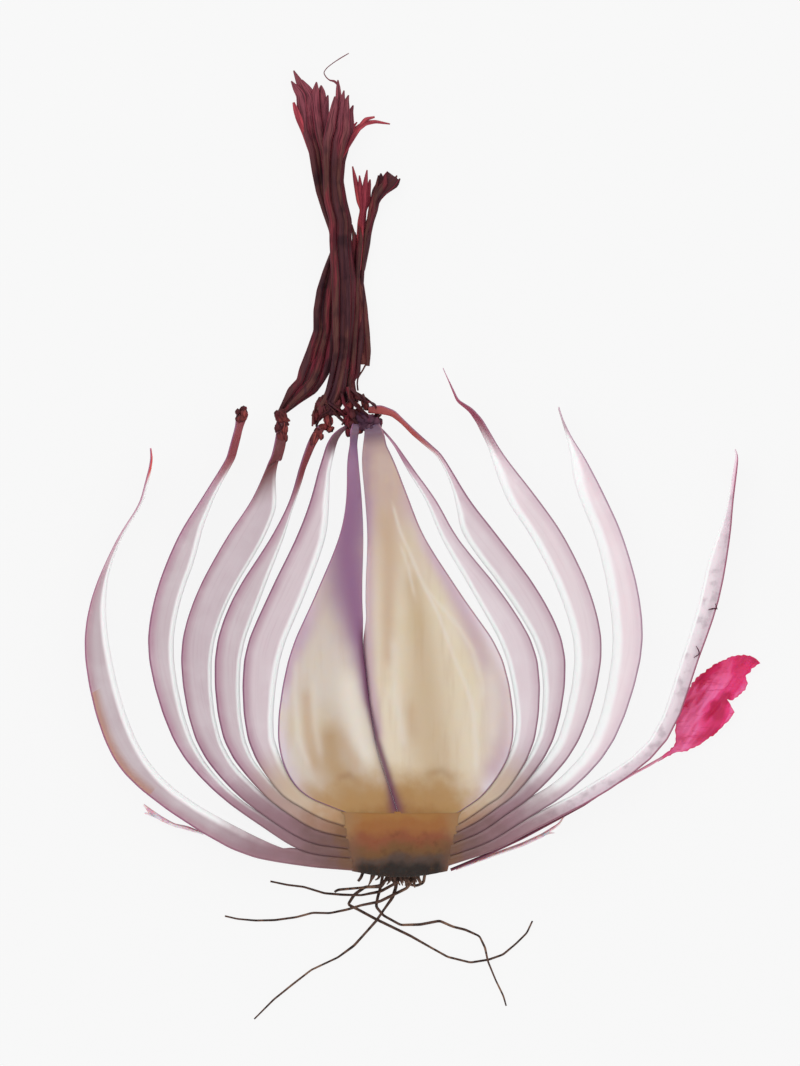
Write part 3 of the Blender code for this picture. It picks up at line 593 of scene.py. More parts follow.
LEFT_STAINS = {
    "violet": [(1.0, [(-6.4, 54, 1.6), (-6.5, 50, 2.2), (-6.6, 44, 2.6), (-6.9, 38.5, 3.2),
                      (-6.2, 33.5, 3.4), (-5.4, 29, 2.4), (-4.8, 25, 1.7), (-4.4, 21, 1.2),
                      (-3.6, 17, 0.8)])],
    "mauve": [(0.8, [(-10.5, 34, 2.4), (-12.6, 29, 1.8), (-14.4, 24, 1.2), (-15.4, 19, 0.9)]),
              (0.6, [(-8.5, 31, 3.4), (-7.5, 27, 3.0)])],
    "pearl": [(0.9, [(-7.0, 24.5, 1.4), (-6.4, 19, 1.5), (-5.2, 14, 1.1), (-3.6, 10, 0.7)]),
              (0.4, [(-13.4, 25, 0.5), (-13.8, 20, 0.45), (-13.2, 14, 0.45), (-11.5, 9.5, 0.4)]),
              (0.3, [(-11.3, 22, 0.4), (-11.1, 16, 0.5), (-10.2, 11, 0.4)])],
    "tan": [(0.75, [(-12.3, 21.5, 0.7), (-12.1, 17, 0.9), (-11.6, 12.5, 0.9), (-10.6, 8.8, 0.7)]),
            (0.5, [(-8.4, 16, 0.9), (-6.4, 12, 1.0), (-4.4, 8.6, 1.0)])],
    "ochre": [(0.72, [(-9.4, 17.5, 1.2), (-8.8, 11, 2.4), (-7.4, 7.6, 2.6), (-4.4, 4.4, 2.6),
                      (1.0, -2.0, 2.8)]),
              (0.6, [(-14.0, 9.0, 1.2), (-10.4, 6.0, 1.5), (-7.0, 4.6, 2.0), (-2.0, 3.6, 2.0),
                     (4.0, 0.0, 2.0)])],
    "umber": [(0.4, [(-8.3, 8.0, 0.4), (-7.7, 8.9, 0.45), (-6.6, 9.2, 0.5), (-5.7, 8.4, 0.55),
                     (-5.2, 6.8, 0.9)]),
              (0.7, [(-7.0, 6.2, 1.2), (-4.2, 4.6, 1.8), (-1.4, 4.0, 1.8)])],
    "wine": [(0.95, [(-4.9, 29, 0.5), (-4.7, 25.1, 0.55), (-4.0, 18.5, 0.5), (-3.0, 13.8, 0.5),
                     (-1.3, 8.2, 0.6),
                      (-0.5, 5.0, 0.95), (-0.1, 2.6, 0.8)])],
}
RIGHT_STAINS = {
    "violet": [(0.55, [(-4.6, 54, 1.4), (-4.6, 51, 1.0), (-4.5, 46, 0.7), (-4.4, 38, 0.5)])],
    "mauve": [(0.7, [(-3.9, 47, 0.8), (-4.2, 38, 0.9), (-4.3, 30, 1.0), (-3.9, 22, 0.8), (-2.5, 13, 0.6)]),
              (0.65, [(1.0, 47, 0.9), (4.5, 38, 1.0), (9.0, 29, 1.3), (12.8, 20, 1.6), (13.0, 12, 1.7),
                      (10.4, 7, 1.3)])],
    "pearl": [(0.6, [(-1.0, 44.7, 0.2), (0.0, 41.0, 0.24), (1.4, 37.8, 0.26), (3.0, 34.1, 0.26),
                     (5.1, 29.9, 0.26),
                      (6.9, 24.8, 0.28), (8.6, 20.8, 0.3), (9.6, 17.4, 0.35), (9.9, 13.1, 0.4),
                     (9.9, 9.2, 0.4)]),
              (0.5, [(1.4, 37.8, 0.22), (3.3, 33.5, 0.26), (5.6, 30.9, 0.26), (7.8, 28.2, 0.28),
                     (9.4, 25.6, 0.35),
                     (10.7, 21.5, 0.5), (11.2, 18.3, 0.6)]),
              (0.5, [(0.0, 39.4, 0.2), (1.0, 36.5, 0.22), (2.0, 32.0, 0.25)]),
              (0.6, [(11.2, 25, 1.2), (12.4, 19, 1.3), (12.0, 12, 1.0)]),
              (0.5, [(-0.9, 28, 0.6), (-0.6, 20, 0.7), (0.6, 12, 0.5)])],
    "tan": [(0.8, [(-2.4, 46, 1.4), (-1.4, 38, 1.4), (-1.6, 30, 1.1), (-1.4, 22, 0.9)]),
            (0.5, [(1.0, 20, 0.9), (2.0, 12, 1.0)])],
    "ochre": [(0.45, [(1.2, 37, 1.0), (2.4, 29.4, 2.0), (3.2, 21.6, 2.8), (4.0, 14.5, 3.2), (4.8, 9.0, 3.4),
                      (5.0, 0.0, 3.4)]),
              (0.8, [(1.2, 5.8, 2.2), (5.2, 6.6, 2.8), (8.6, 5.4, 2.0)])],
    "umber": [(0.3, [(2.9, 7.4, 0.9), (3.9, 9.4, 0.6), (5.4, 9.8, 0.6), (6.7, 8.9, 0.6), (7.5, 7.0, 0.9)]),
              (0.75, [(0.4, 4.2, 1.8), (4.6, 4.7, 2.0), (7.6, 4.8, 1.4)])],
    "wine": [(0.9, [(-4.9, 29, 0.4), (-4.7, 25.1, 0.4), (-4.0, 18.5, 0.4), (-3.0, 13.8, 0.45),
                    (-1.3, 8.2, 0.55),
                     (-0.5, 5.0, 0.95), (-0.1, 2.6, 0.8)])],
}
for name, stains in (("heart_left", LEFT_STAINS), ("heart_right", RIGHT_STAINS)):
    for stain_name, strokes in stains.items():
        stain(hearts[name], stain_name, strokes, 0.08 if stain_name in ("pearl", "wine") else 0.0)
print("stains on each heart:", list(LEFT_STAINS))


# %% Heart flesh
def heart_flesh(name, line, top, middle, edge, violet):
    """Cream flesh with the stains of its inner leaves, its bud and its seam."""
    made, tree, sockets = finish(name, IOR=1.4, Subsurface_Weight=1.0, Subsurface_Scale=0.0012,
                                 Coat_Weight=0.25, Coat_Roughness=0.2, Specular_IOR_Level=0.3)
    sockets["Subsurface Radius"].default_value = (1.0, 0.7, 0.5)
    place = node(tree, "ShaderNodeTexCoord")["Object"]
    skin, along = measured(tree, "skin_mm"), measured(tree, "along")
    fibre_place = node(tree, "ShaderNodeMapping", {"Vector": place, "Scale": (1.0, 0.12, 1.0)})[0]
    fibre = node(tree, "ShaderNodeTexNoise", {"Vector": fibre_place, "Scale": size_mm(1.3), "Detail": 4.0})[0]
    cloud = node(tree, "ShaderNodeTexNoise", {"Vector": place, "Scale": size_mm(6.0), "Detail": 3.0})[0]
    colour = coats(tree, middle, (edge, (skin, 2.2, 0.3)), (top, (along, 0.5, 0.95)),
                   ("#DCCFB0", (cloud, 0.45, 0.7, 0.4)), ("#CDB79E", (fibre, 0.5, 0.75, 0.35)),
                   ("#C9AE94", measured(tree, "tan")), ("#B28C56", measured(tree, "ochre")),
                   ("#BFA0B2", measured(tree, "mauve")), (violet, measured(tree, "violet")),
                   ("#E6DDD2", measured(tree, "pearl")), ("#8D5F35", measured(tree, "umber")))
    colour = rooted(tree, place, colour, ("#B48E5C", 2.4, 1.4), ("#A0703C", 1.5, 0.95))
    colour = coats(tree, colour, ("#6E3A58", measured(tree, "wine")), ("#7A5F72", (along, 0.94, 0.985)),
                   (line, (skin, 0.3, 0.1)))
    surface(tree, sockets, colour, fibre, (0.3, 0.45), 0.3, 0.03)
    return made


hearts["heart_left"].data.materials.append(
    heart_flesh("heart flesh, left", line="#8A5F80", top="#7E5C80", middle="#D6CBC0", edge="#DACDD3",
                violet="#966C8E"))
hearts["heart_right"].data.materials.append(
    heart_flesh("heart flesh, right", line="#9A7686", top="#C2A6A0", middle="#E2D6C2", edge="#E8DDE1",
                violet="#94708C"))

# %% [markdown]
# ## The basal plate
#
# The plate is the shortened stem that everything grows from. Cut through, it is woody and damp: orange
# brown where the hearts stand, red brown below, and nearly black and crumbly on its root side.

# %% The plate and its colours
PLATE_GROWS = 0.26
low = plate_rim[plate_rim[:, 1] < 0][np.argsort(plate_rim[plate_rim[:, 1] < 0][:, 0])]
high = plate_rim[plate_rim[:, 1] > 0][np.argsort(plate_rim[plate_rim[:, 1] > 0][:, 0])]
low[0, 0], low[-1, 0] = low[0, 0] - PLATE_GROWS, low[-1, 0] + PLATE_GROWS
high[0, 0], high[-1, 0] = high[0, 0] - PLATE_GROWS, high[-1, 0] + PLATE_GROWS
high[:, 1] += PLATE_GROWS


def crumbly(place, d, core, reach):
    """The root side is broken up by old roots, and the cut face has short woody fibres."""
    crumbs = noise.noise(Vector((place[0] * 1.3, place[1] * 1.3, 7))) + 0.5 * noise.noise(
        Vector((place[0] * 3.1, place[1] * 3.1, 2)))
    return 0.22 * crumbs * max(0.12, 1 - d / 2.5) - 0.06


plate = cut_piece("basal_plate_cut", even(low, 90, 0.8), even(high, 90, 0.3), 46, crumbly, edges=(0.3, 0.02))
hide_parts("basal_plate")
woody, tree, sockets = finish("damp woody plate", IOR=1.45, Specular_IOR_Level=0.3, Subsurface_Weight=0.3,
                              Subsurface_Scale=0.001)
place = node(tree, "ShaderNodeTexCoord")["Object"]
crumb = node(tree, "ShaderNodeTexNoise", {"Vector": place, "Scale": size_mm(1.1), "Detail": 5.0})[0]
patch = node(tree, "ShaderNodeTexNoise", {"Vector": place, "Scale": size_mm(4.0), "Detail": 3.0})[0]
sides, height, _ = node(tree, "ShaderNodeSeparateXYZ", {0: place})
wavy = node(tree, "ShaderNodeMath", {0: patch, 1: 0.004, 2: height}, operation="MULTIPLY_ADD")[0]
bands = [node(tree, "ShaderNodeMapRange", {0: wavy, 1: (start + 2.0) * MM, 2: (end + 2.0) * MM}, **SMOOTH)[0]
         for start, end in ((4.2, 2.6), (2.2, 0.6), (0.8, -0.8), (-0.6, -2.2), (-2.0, -3.2))]
sideways = node(tree, "ShaderNodeMath", {0: sides}, operation="ABSOLUTE")[0]
sideways = node(tree, "ShaderNodeMath", {0: patch, 1: 0.004, 2: sideways}, operation="MULTIPLY_ADD")[0]
flank = node(tree, "ShaderNodeMapRange", {0: sideways, 1: 6.2 * MM, 2: 9.3 * MM}, **SMOOTH)[0]
crumbled = node(tree, "ShaderNodeMapRange", {0: crumb, 1: 0.5, 2: 0.75, 4: 0.4}, **SMOOTH)[0]
crumbled = node(tree, "ShaderNodeMath", {0: crumbled, 1: bands[1]}, operation="MULTIPLY")[0]
colour = coats(tree, "#A0703E", *zip(("#9A6437", "#8A4F34", "#74502F", "#54423A", "#2A211D"), bands),
               ("#5A3D28", crumbled),
               (coats(tree, "#9E7650", ("#7A5644", (wavy, 4.6 * MM, 1.4 * MM))), flank))
surface(tree, sockets, colour, crumb, (0.55, 0.8), 0.6, 0.12)
plate.data.materials.append(woody)
print("plate:", len(plate.data.polygons), "faces")

# %% [markdown]
# ## Dry leaves as bundles of strips
#
# Above the bulb the leaves have dried to maroon paper. They shrink into narrow pleats side by side, and
# tear at the ends between the pleats. So a leaf is made as what it became: a bundle of narrow strips that
# overlap, each with its own height, ridge and torn end. One strip is a grid rolled up along a path.

# %% One strip, and a bundle of them
def strip(bm, path, tone, turn=0.0, around=10, step=0.35):
    """A closed tapering strip along rows of (x, y, z, width, height)."""
    length = np.hypot(*np.diff(np.array(path)[:, :2], axis=0).T).sum()
    path = even(np.array(path, float), max(8, int(length / step)), 0.45)
    reach = np.concatenate([[0], np.cumsum(np.hypot(*np.diff(path[:, :2], axis=0).T))])
    across = np.gradient(path[:, :2], axis=0)[:, ::-1] * (1, -1)
    across /= np.maximum(np.hypot(*across.T), 1e-9)[:, None]
    # The `rise` mark is how far up each point faces; the finishes use it for painted shade on sides and
    # undersides.
    names = ("across", "along_mm", "along", "tone", "rise")
    marks = [bm.verts.layers.float.get(n) or bm.verts.layers.float.new(n) for n in names]
    verts = bmesh.ops.create_grid(bm, x_segments=len(path) - 1, y_segments=around, size=0.5)["verts"]
    for vert in verts:
        i, angle = round((vert.co.x + 0.5) * (len(path) - 1)), math.tau * (vert.co.y + 0.5)
        x, y, z, width, height = path[i]
        side, up = math.cos(angle), math.sin(angle)
        up = up * (1 - 0.35 * abs(side)) if up > 0 else 0.6 * up
        tilt = turn + 0.5 * turn * math.sin(reach[i] * 0.3)
        flat, rise = side * width / 2 * math.cos(tilt), up * height / 2 + side * width / 2 * math.sin(tilt)
        rise += 0.06 * noise.noise(Vector((reach[i] * 1.1, side * 2, tone * 40))) * min(1.0, width)
        vert.co = Vector((x + across[i, 0] * flat, y + across[i, 1] * flat, z + rise)) * MM
        for mark, value in zip(marks, (side, reach[i], reach[i] / reach[-1], tone, up)):
            vert[mark] = value
    return verts


def close_strips(name, bm):
    """Merges the seam of every strip, fills its ends, and makes the piece."""
    bmesh.ops.remove_doubles(bm, verts=bm.verts, dist=0.0005 * MM)
    bmesh.ops.holes_fill(bm, edges=[e for e in bm.edges if e.is_boundary])
    bmesh.ops.recalc_face_normals(bm, faces=bm.faces)
    return add_piece(name, bm, 60)


def bundle(bm, rows, count, low, high, tips, seed):
    """Pleats side by side between two edges, rows of (y, left, right). Each ends in one of the torn tips."""
    rows = np.array(rows)
    for j in range(count):
        wander = [noise.noise(Vector((y * 0.16, j * 3.7, seed))) for y in rows[:, 0]]
        share = (j + 0.5) / count
        path = []
        for (y, left, right), drift in zip(rows, wander):
            width = (right - left) / count
            inset = min(0.62 * width, (right - left) / 2)
            x = left + inset + (right - left - 2 * inset) * (j / max(count - 1, 1)) + 0.25 * drift * width
            z = low + (high - low) * (0.55 + 0.3 * math.sin(2.4 * j + seed) + 0.25 * drift)
            path.append((x, y, z, 1.75 * width * (1 + 0.3 * drift), (high - low) * (0.42 + 0.3 * drift)))
        if tips:
            x, y = tips[round(share * len(tips) - 0.5)]
            last = path[-1]
            path = [p for p in path if p[1] < y - 1.2]
            path.append(((x + last[0]) / 2, (y + path[-1][1]) / 2, path[-1][2], path[-1][3] * 0.75,
                         path[-1][4] * 0.7))
            path.append((x, y, path[-1][2] - 0.15, 0.18, 0.12))
        strip(bm, path, (0.13 + 0.37 * j + 0.21 * seed) % 1.0, 0.25 * math.sin(1.9 * j + seed))


# %% The three leaves of the neck
LEFT_ROWS = [(56.4, -16.0, -14.8), (58.0, -15.2, -12.7), (59.3, -14.6, -10.8), (60.6, -13.4, -9.9),
             (61.9, -13.1, -9.2), (63.2, -12.6, -8.9), (64.5, -12.1, -8.8), (67.1, -11.2, -8.3),
             (69.7, -11.2, -8.3), (72.3, -10.8, -8.1), (74.9, -10.0, -7.8), (77.5, -9.0, -7.2),
             (80.1, -9.2, -7.2), (82.7, -10.1, -7.8), (85.3, -10.9, -8.2), (87.9, -11.4, -8.4),
             (90.5, -11.8, -8.6), (93.1, -12.6, -9.2), (96.2, -13.3, -9.2), (97.8, -13.4, -9.3)]
LEFT_TIPS = [(-14.2, 99.7), (-13.9, 101.1), (-12.8, 99.9), (-11.8, 99.4), (-10.9, 99.6), (-10.3, 99.2),
             (-9.4, 97.9)]
MIDDLE_ROWS = [(56.7, -10.9, -9.1), (58.0, -10.1, -7.9), (59.3, -9.6, -7.4), (61.9, -9.0, -6.9),
               (64.5, -8.6, -6.4), (68.4, -8.7, -6.0), (73.6, -8.8, -6.0), (78.8, -9.1, -6.4),
               (81.4, -9.1, -6.4), (84.0, -9.8, -7.0), (86.6, -9.9, -7.4), (89.2, -9.9, -7.2),
               (91.8, -9.9, -6.5), (93.1, -9.6, -6.0), (94.6, -9.3, -6.1), (96.2, -8.9, -6.1),
               (97.8, -8.7, -6.6)]
MIDDLE_TIPS = [(-8.5, 97.6), (-8.1, 99.8), (-7.3, 98.4), (-6.7, 97.8), (-6.1, 96.5)]
RIGHT_ROWS = [(57.7, -7.2, -5.4), (59.3, -7.5, -5.7), (60.6, -7.5, -5.9), (61.6, -7.4, -5.2),
              (62.7, -7.2, -5.2), (64.5, -7.2, -5.0), (67.1, -7.0, -4.7), (69.7, -6.8, -4.4),
              (72.3, -6.6, -4.8), (74.9, -6.4, -4.7), (77.5, -6.4, -4.4), (79.8, -5.9, -3.8)]
RIGHT_TIPS = [(-6.3, 81.0), (-5.9, 80.0), (-5.4, 80.8), (-4.9, 80.2), (-4.3, 80.8)]
RIGHT_FORK = [(75.0, -5.2, -4.6), (78.4, -5.1, -4.0), (79.8, -4.9, -3.8), (81.4, -4.4, -3.4),
              (82.9, -3.9, -2.9), (84.1, -3.8, -2.7),
              (85.3, -3.6, -1.7), (86.4, -2.9, -0.6)]
FORK_TIPS = [(-2.5, 87.7), (-1.9, 87.5), (-0.4, 87.4), (0.0, 87.0)]
LEFT_FORK = [(75.0, -5.6, -5.0), (78.4, -5.7, -4.6), (81.4, -5.5, -4.5), (82.9, -5.2, -4.4),
             (84.0, -5.6, -3.9), (85.3, -5.8, -3.9)]
LEFT_FORK_TIPS = [(-6.2, 88.6), (-5.3, 87.4), (-4.3, 88.1), (-3.9, 86.9)]

FLARE = [[(-4.2, 79.6, 1.6, 0.3, 0.3), (-3.6, 83.0, 1.7, 0.9, 0.4), (-2.6, 85.2, 1.6, 1.5, 0.4),
          (-1.5, 86.6, 1.5, 2.3, 0.35), (-0.9, 87.4, 1.4, 2.1, 0.25)],
         [(-4.4, 80.4, 1.9, 0.25, 0.3), (-3.8, 83.4, 2.0, 0.6, 0.4), (-3.2, 85.4, 1.9, 0.55, 0.3),
          (-2.8, 87.4, 1.7, 0.2, 0.2)],
         [(-5.2, 74.0, 1.5, 0.8, 0.6), (-4.9, 70.0, 1.6, 1.5, 0.7), (-4.8, 66.5, 1.5, 1.9, 0.6),
          (-4.7, 63.6, 1.3, 1.8, 0.5), (-4.7, 62.7, 1.2, 1.5, 0.3)],
         [(-4.6, 71.0, 1.9, 0.5, 0.4), (-4.3, 67.0, 1.9, 0.8, 0.5), (-4.1, 64.4, 1.7, 0.7, 0.4),
          (-4.2, 62.5, 1.5, 0.5, 0.3)]]

neck = {}
for name, count, low, high, rows, tips in (
        ("neck_leaf_left", 6, 0.6, 2.2, LEFT_ROWS, LEFT_TIPS),
        ("neck_leaf_middle", 5, 2.0, 4.0, MIDDLE_ROWS, MIDDLE_TIPS),
        ("neck_leaf_right", 5, 0.6, 2.4, RIGHT_ROWS, RIGHT_TIPS),
        ("neck_shred_middle", 4, 0.9, 2.4, LEFT_FORK, LEFT_FORK_TIPS)):
    bm = bmesh.new()
    bundle(bm, rows, count, low, high, tips, len(neck) + 1)
    if name == "neck_leaf_right":
        bundle(bm, RIGHT_FORK, 4, 0.7, 2.0, FORK_TIPS, 5)
        for j, path in enumerate(FLARE):
            strip(bm, path, (0.1, 0.98, 0.8, 0.55)[j], 0.3)
    neck[name] = close_strips(name.replace("neck", "dry"), bm)
    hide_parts(name)
print("neck leaves:", {name: len(piece.data.polygons) for name, piece in neck.items()})

# %% What has torn off the neck, and the knots that tie it to the bulb
SHREDS = {
    "neck_shred_left": [[(-11.6, 89.6, 1.5, 0.1, 0.3), (-12.5, 93.0, 1.8, 0.8, 0.4),
                         (-13.2, 94.8, 2.0, 1.0, 0.3),
                         (-13.6, 95.9, 2.1, 0.8, 0.25), (-13.9, 96.9, 2.2, 0.35, 0.2)]],
    "neck_shred_right": [[(-7.6, 89.4, 3.0, 0.1, 0.3), (-6.2, 92.4, 2.8, 1.0, 0.4),
                          (-5.5, 93.5, 2.5, 1.0, 0.35),
                          (-4.5, 94.2, 2.2, 0.8, 0.3), (-3.2, 94.4, 1.9, 0.55, 0.25),
                          (-1.3, 94.1, 1.6, 0.2, 0.15)],
                         [(-5.3, 93.8, 2.3, 0.4, 0.3), (-4.5, 94.7, 2.2, 0.6, 0.3),
                          (-3.3, 95.0, 2.0, 0.3, 0.2)],
                         [(-6.2, 92.2, 2.6, 0.5, 0.3), (-6.1, 93.7, 2.5, 0.45, 0.3),
                          (-5.6, 94.3, 2.4, 0.2, 0.2)]],
    "neck_thread": [[(-8.1, 99.2, 2.6, 0.35, 0.25), (-8.6, 99.7, 2.5, 0.35, 0.2),
                     (-9.1, 99.7, 2.4, 0.2, 0.15),
                     (-9.6, 100.1, 2.2, 0.16, 0.14), (-10.0, 100.8, 1.9, 0.14, 0.14),
                     (-9.5, 101.5, 1.6, 0.14, 0.14),
                     (-8.6, 102.2, 1.2, 0.14, 0.14), (-7.7, 102.8, 0.9, 0.18, 0.14),
                     (-6.7, 103.4, 0.6, 0.14, 0.12)]],
}
KNOT = [
    [(-7.7, 58.9), (-7.2, 57.3), (-6.2, 56.4), (-5.2, 56.9), (-4.4, 57.7), (-4.9, 58.7)],
    [(-6.9, 59.6), (-6.2, 57.5), (-6.5, 56.2), (-7.5, 54.9)],
    [(-6.4, 59.4), (-4.7, 58.2), (-3.4, 57.5), (-2.9, 56.4), (-3.6, 55.4), (-4.9, 55.4), (-5.7, 56.4)],
    [(-9.1, 57.7), (-7.8, 56.7), (-7.0, 55.6), (-5.7, 54.9)],
    [(-11.3, 56.0), (-10.7, 57.2), (-9.6, 57.6), (-8.6, 56.9), (-8.1, 55.9), (-7.2, 55.1)],
    [(-8.3, 57.8), (-9.1, 56.6), (-10.2, 55.9), (-11.0, 54.7)],
    [(-6.2, 55.6), (-5.2, 54.6), (-3.6, 54.9), (-2.6, 56.2)],
    [(-9.6, 58.8), (-10.7, 57.5), (-11.3, 56.2), (-11.3, 54.7)],
    [(-6.6, 58.2), (-5.6, 57.3), (-4.4, 56.2), (-3.4, 54.6)],
    [(-7.0, 57.0), (-6.0, 55.6), (-5.6, 54.2)],
]
HANGING = [(-4.2, 63.2), (-4.9, 61.9), (-5.5, 61.0), (-5.6, 60.2), (-5.5, 59.3)]
for name, paths in SHREDS.items():
    bm = bmesh.new()
    for j, path in enumerate(paths):
        strip(bm, path, (0.75 + 0.2 * j) % 1.0, 0.35, step=0.15)
    neck[name] = close_strips(name.replace("neck", "torn"), bm)
    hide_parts(name)
bm = bmesh.new()
for j, line in enumerate(KNOT):
    for twin in (-1, 1):
        path = [(x + 0.16 * twin * math.cos(2.1 * i + j), y + 0.16 * twin * math.sin(2.1 * i + j),
                 3.3 + 0.6 * math.sin(1.7 * i + 2.3 * j) + 0.2 * twin, 0.7, 0.6)
                for i, (x, y) in enumerate(line)]
        strip(bm, path, (0.31 * j + 0.2 * twin) % 0.8, 0.8 * twin, step=0.2)
strip(bm, [(x, y, 1.6 - 0.2 * i, 0.22, 0.2) for i, (x, y) in enumerate(HANGING)], 0.7, step=0.15)
neck["neck_knot"] = close_strips("dry_knot", bm)
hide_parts("neck_knot")
LUMPS = {
    "dry_lumps_tips": [
        (-21, 56.42, 5, 0.45, 0.45, 0.5, 0.2, 0.85), (-20.28, 56.16, 5.2, 0.5, 0.6, 0.5, -0.2, 0.95),
        (-20.67, 55.64, 5.4, 0.75, 0.5, 0.5, 0.1, 0.5), (-20.41, 56.88, 4.8, 0.45, 0.35, 0.4, 0.3, 0.3),
        (-15.86, 54.34, 4.4, 0.5, 0.7, 0.5, 0.1, 0.2), (-15.02, 54.08, 4.5, 0.45, 0.8, 0.5, -0.1, 0.85),
        (-15.47, 53.17, 4.9, 0.6, 0.7, 0.4, 0.2, 0.4), (-14.82, 53.04, 5, 0.25, 0.5, 0.3, 0, 0.7),
        (-11.31, 52.78, 4.8, 0.45, 0.9, 0.45, -0.3, 0.9), (-10.79, 53.69, 4.2, 0.6, 0.6, 0.5, -0.2, 0.4),
        (-10.27, 53.3, 4.3, 0.3, 0.5, 0.3, 0, 0.9)],
    "dry_lumps_left": [
        (-15.47, 55.77, 3.4, 0.85, 0.85, 0.9, 0.5, 0.8), (-15.93, 56.03, 3.6, 0.45, 0.6, 0.6, 0.3, 0.7),
        (-14.95, 55.38, 3.5, 0.5, 0.55, 0.6, 0.9, 0.9), (-15.41, 56.48, 3, 0.5, 0.4, 0.5, 0.2, 0.8),
        (-15.21, 54.86, 3.8, 0.75, 0.35, 0.5, 0.1, 0.3)],
    "dry_lumps_middle": [
        (-10.53, 57.46, 2.8, 0.6, 1, 0.8, -0.4, 0.3), (-10.99, 55.9, 3, 0.55, 0.85, 0.8, 0, 0.4), (-10.14,
        56.55, 3.3, 0.7, 0.9, 0.8, 0.2, 0.2), (-9.36, 55.38, 3.2, 0.55, 0.9, 0.7, 0.2, 0.9), (-10.14,
        54.47, 3.1, 0.85, 0.5, 0.7, 0.2, 0.5), (-9.1, 54.21, 3, 0.5, 0.4, 0.5, 0.5, 0.95), (-8.97, 56.68,
        3.2, 0.7, 0.75, 0.8, 0, 0.1), (-8.06, 57.59, 3, 0.6, 0.8, 0.8, -0.5, 0.15), (-8.06, 56.29, 2.8,
        0.7, 0.4, 0.6, 0.1, 0.1), (-7.15, 56.48, 2.8, 0.6, 0.4, 0.6, -0.2, 0.2), (-9.75, 57.85, 2.9, 0.9,
        0.8, 0.8, -0.3, 0.2), (-8.71, 58.5, 2.8, 0.9, 0.8, 0.8, 0, 0.1)],
    "dry_lumps_right": [
        (-6.37, 58.37, 2.7, 0.45, 0.9, 0.7, 0.1, 0.2), (-5.33, 58.37, 2.8, 0.8, 0.4, 0.6, -0.5, 0.3),
        (-4.55, 57.46, 2.9, 0.45, 0.8, 0.7, 0.3, 0.5), (-6.57, 57.2, 3, 0.5, 0.7, 0.7, 0.2, 0.8), (-6.11,
        56.16, 3.3, 0.7, 0.7, 0.8, 0, 0.3), (-5.33, 56.68, 3, 0.5, 0.4, 0.6, 0.3, 0.6), (-6.89, 55.38,
        3.1, 0.5, 0.75, 0.7, -0.1, 0.4), (-6.11, 54.86, 3.4, 0.8, 0.6, 0.8, 0.2, 0.2), (-6.76, 53.82, 3.3,
        0.4, 0.6, 0.5, 0.1, 0.3), (-5.72, 53.95, 3.6, 0.85, 0.4, 0.6, -0.1, 0.9)],
    "dry_lumps_collar": [
        (-4.94, 55.64, 3.2, 1.1, 0.8, 0.9, -0.1, 0.2), (-3.9, 55.38, 3.3, 1.1, 0.75, 0.9, -0.2, 0.4),
        (-3.06, 54.99, 3.6, 0.75, 0.75, 0.8, 0.1, 0.7), (-4.68, 54.6, 3.6, 0.95, 0.6, 0.8, 0, 0.5),
        (-3.77, 54.34, 4, 1, 0.6, 0.8, 0, 0.9)]}


def lump(bm, x, y, z, wide, long, high, turn, tone):
    """A knob of crumpled leaf with these half sizes in millimetres."""
    marks = [bm.verts.layers.float.get(n) or bm.verts.layers.float.new(n)
             for n in ("across", "along_mm", "along", "tone", "rise")]
    verts = bmesh.ops.create_icosphere(bm, subdivisions=4, radius=1.0)["verts"]
    for vert in verts:
        start = vert.co.copy()
        fold = noise.noise(Vector((start.x * 2.6, start.y * 0.9, start.z * 2.0 + 9 * tone + x)))
        pit = noise.noise(Vector((start.x * 4.0, start.y * 4.0, start.z * 4.0 + y)))
        place = start * (1 + 0.3 * fold + 0.14 * pit)
        across, ahead = place.x * wide, place.y * long
        vert.co = Vector((x + across * math.cos(turn) - ahead * math.sin(turn),
                          y + across * math.sin(turn) + ahead * math.cos(turn), z + place.z * high)) * MM
        # The `rise` mark is high on a lump's top; the finishes use it for painted shade on its lower half.
        for mark, value in zip(marks, (start.x, (start.y + 1) * long, 0.5, tone, max(0.0, start.z + fold))):
            vert[mark] = value


for name, lumps in LUMPS.items():
    bm = bmesh.new()
    for row in lumps:
        lump(bm, *row)
    neck[name] = close_strips(name, bm)
print("neck pieces:", sorted(neck))
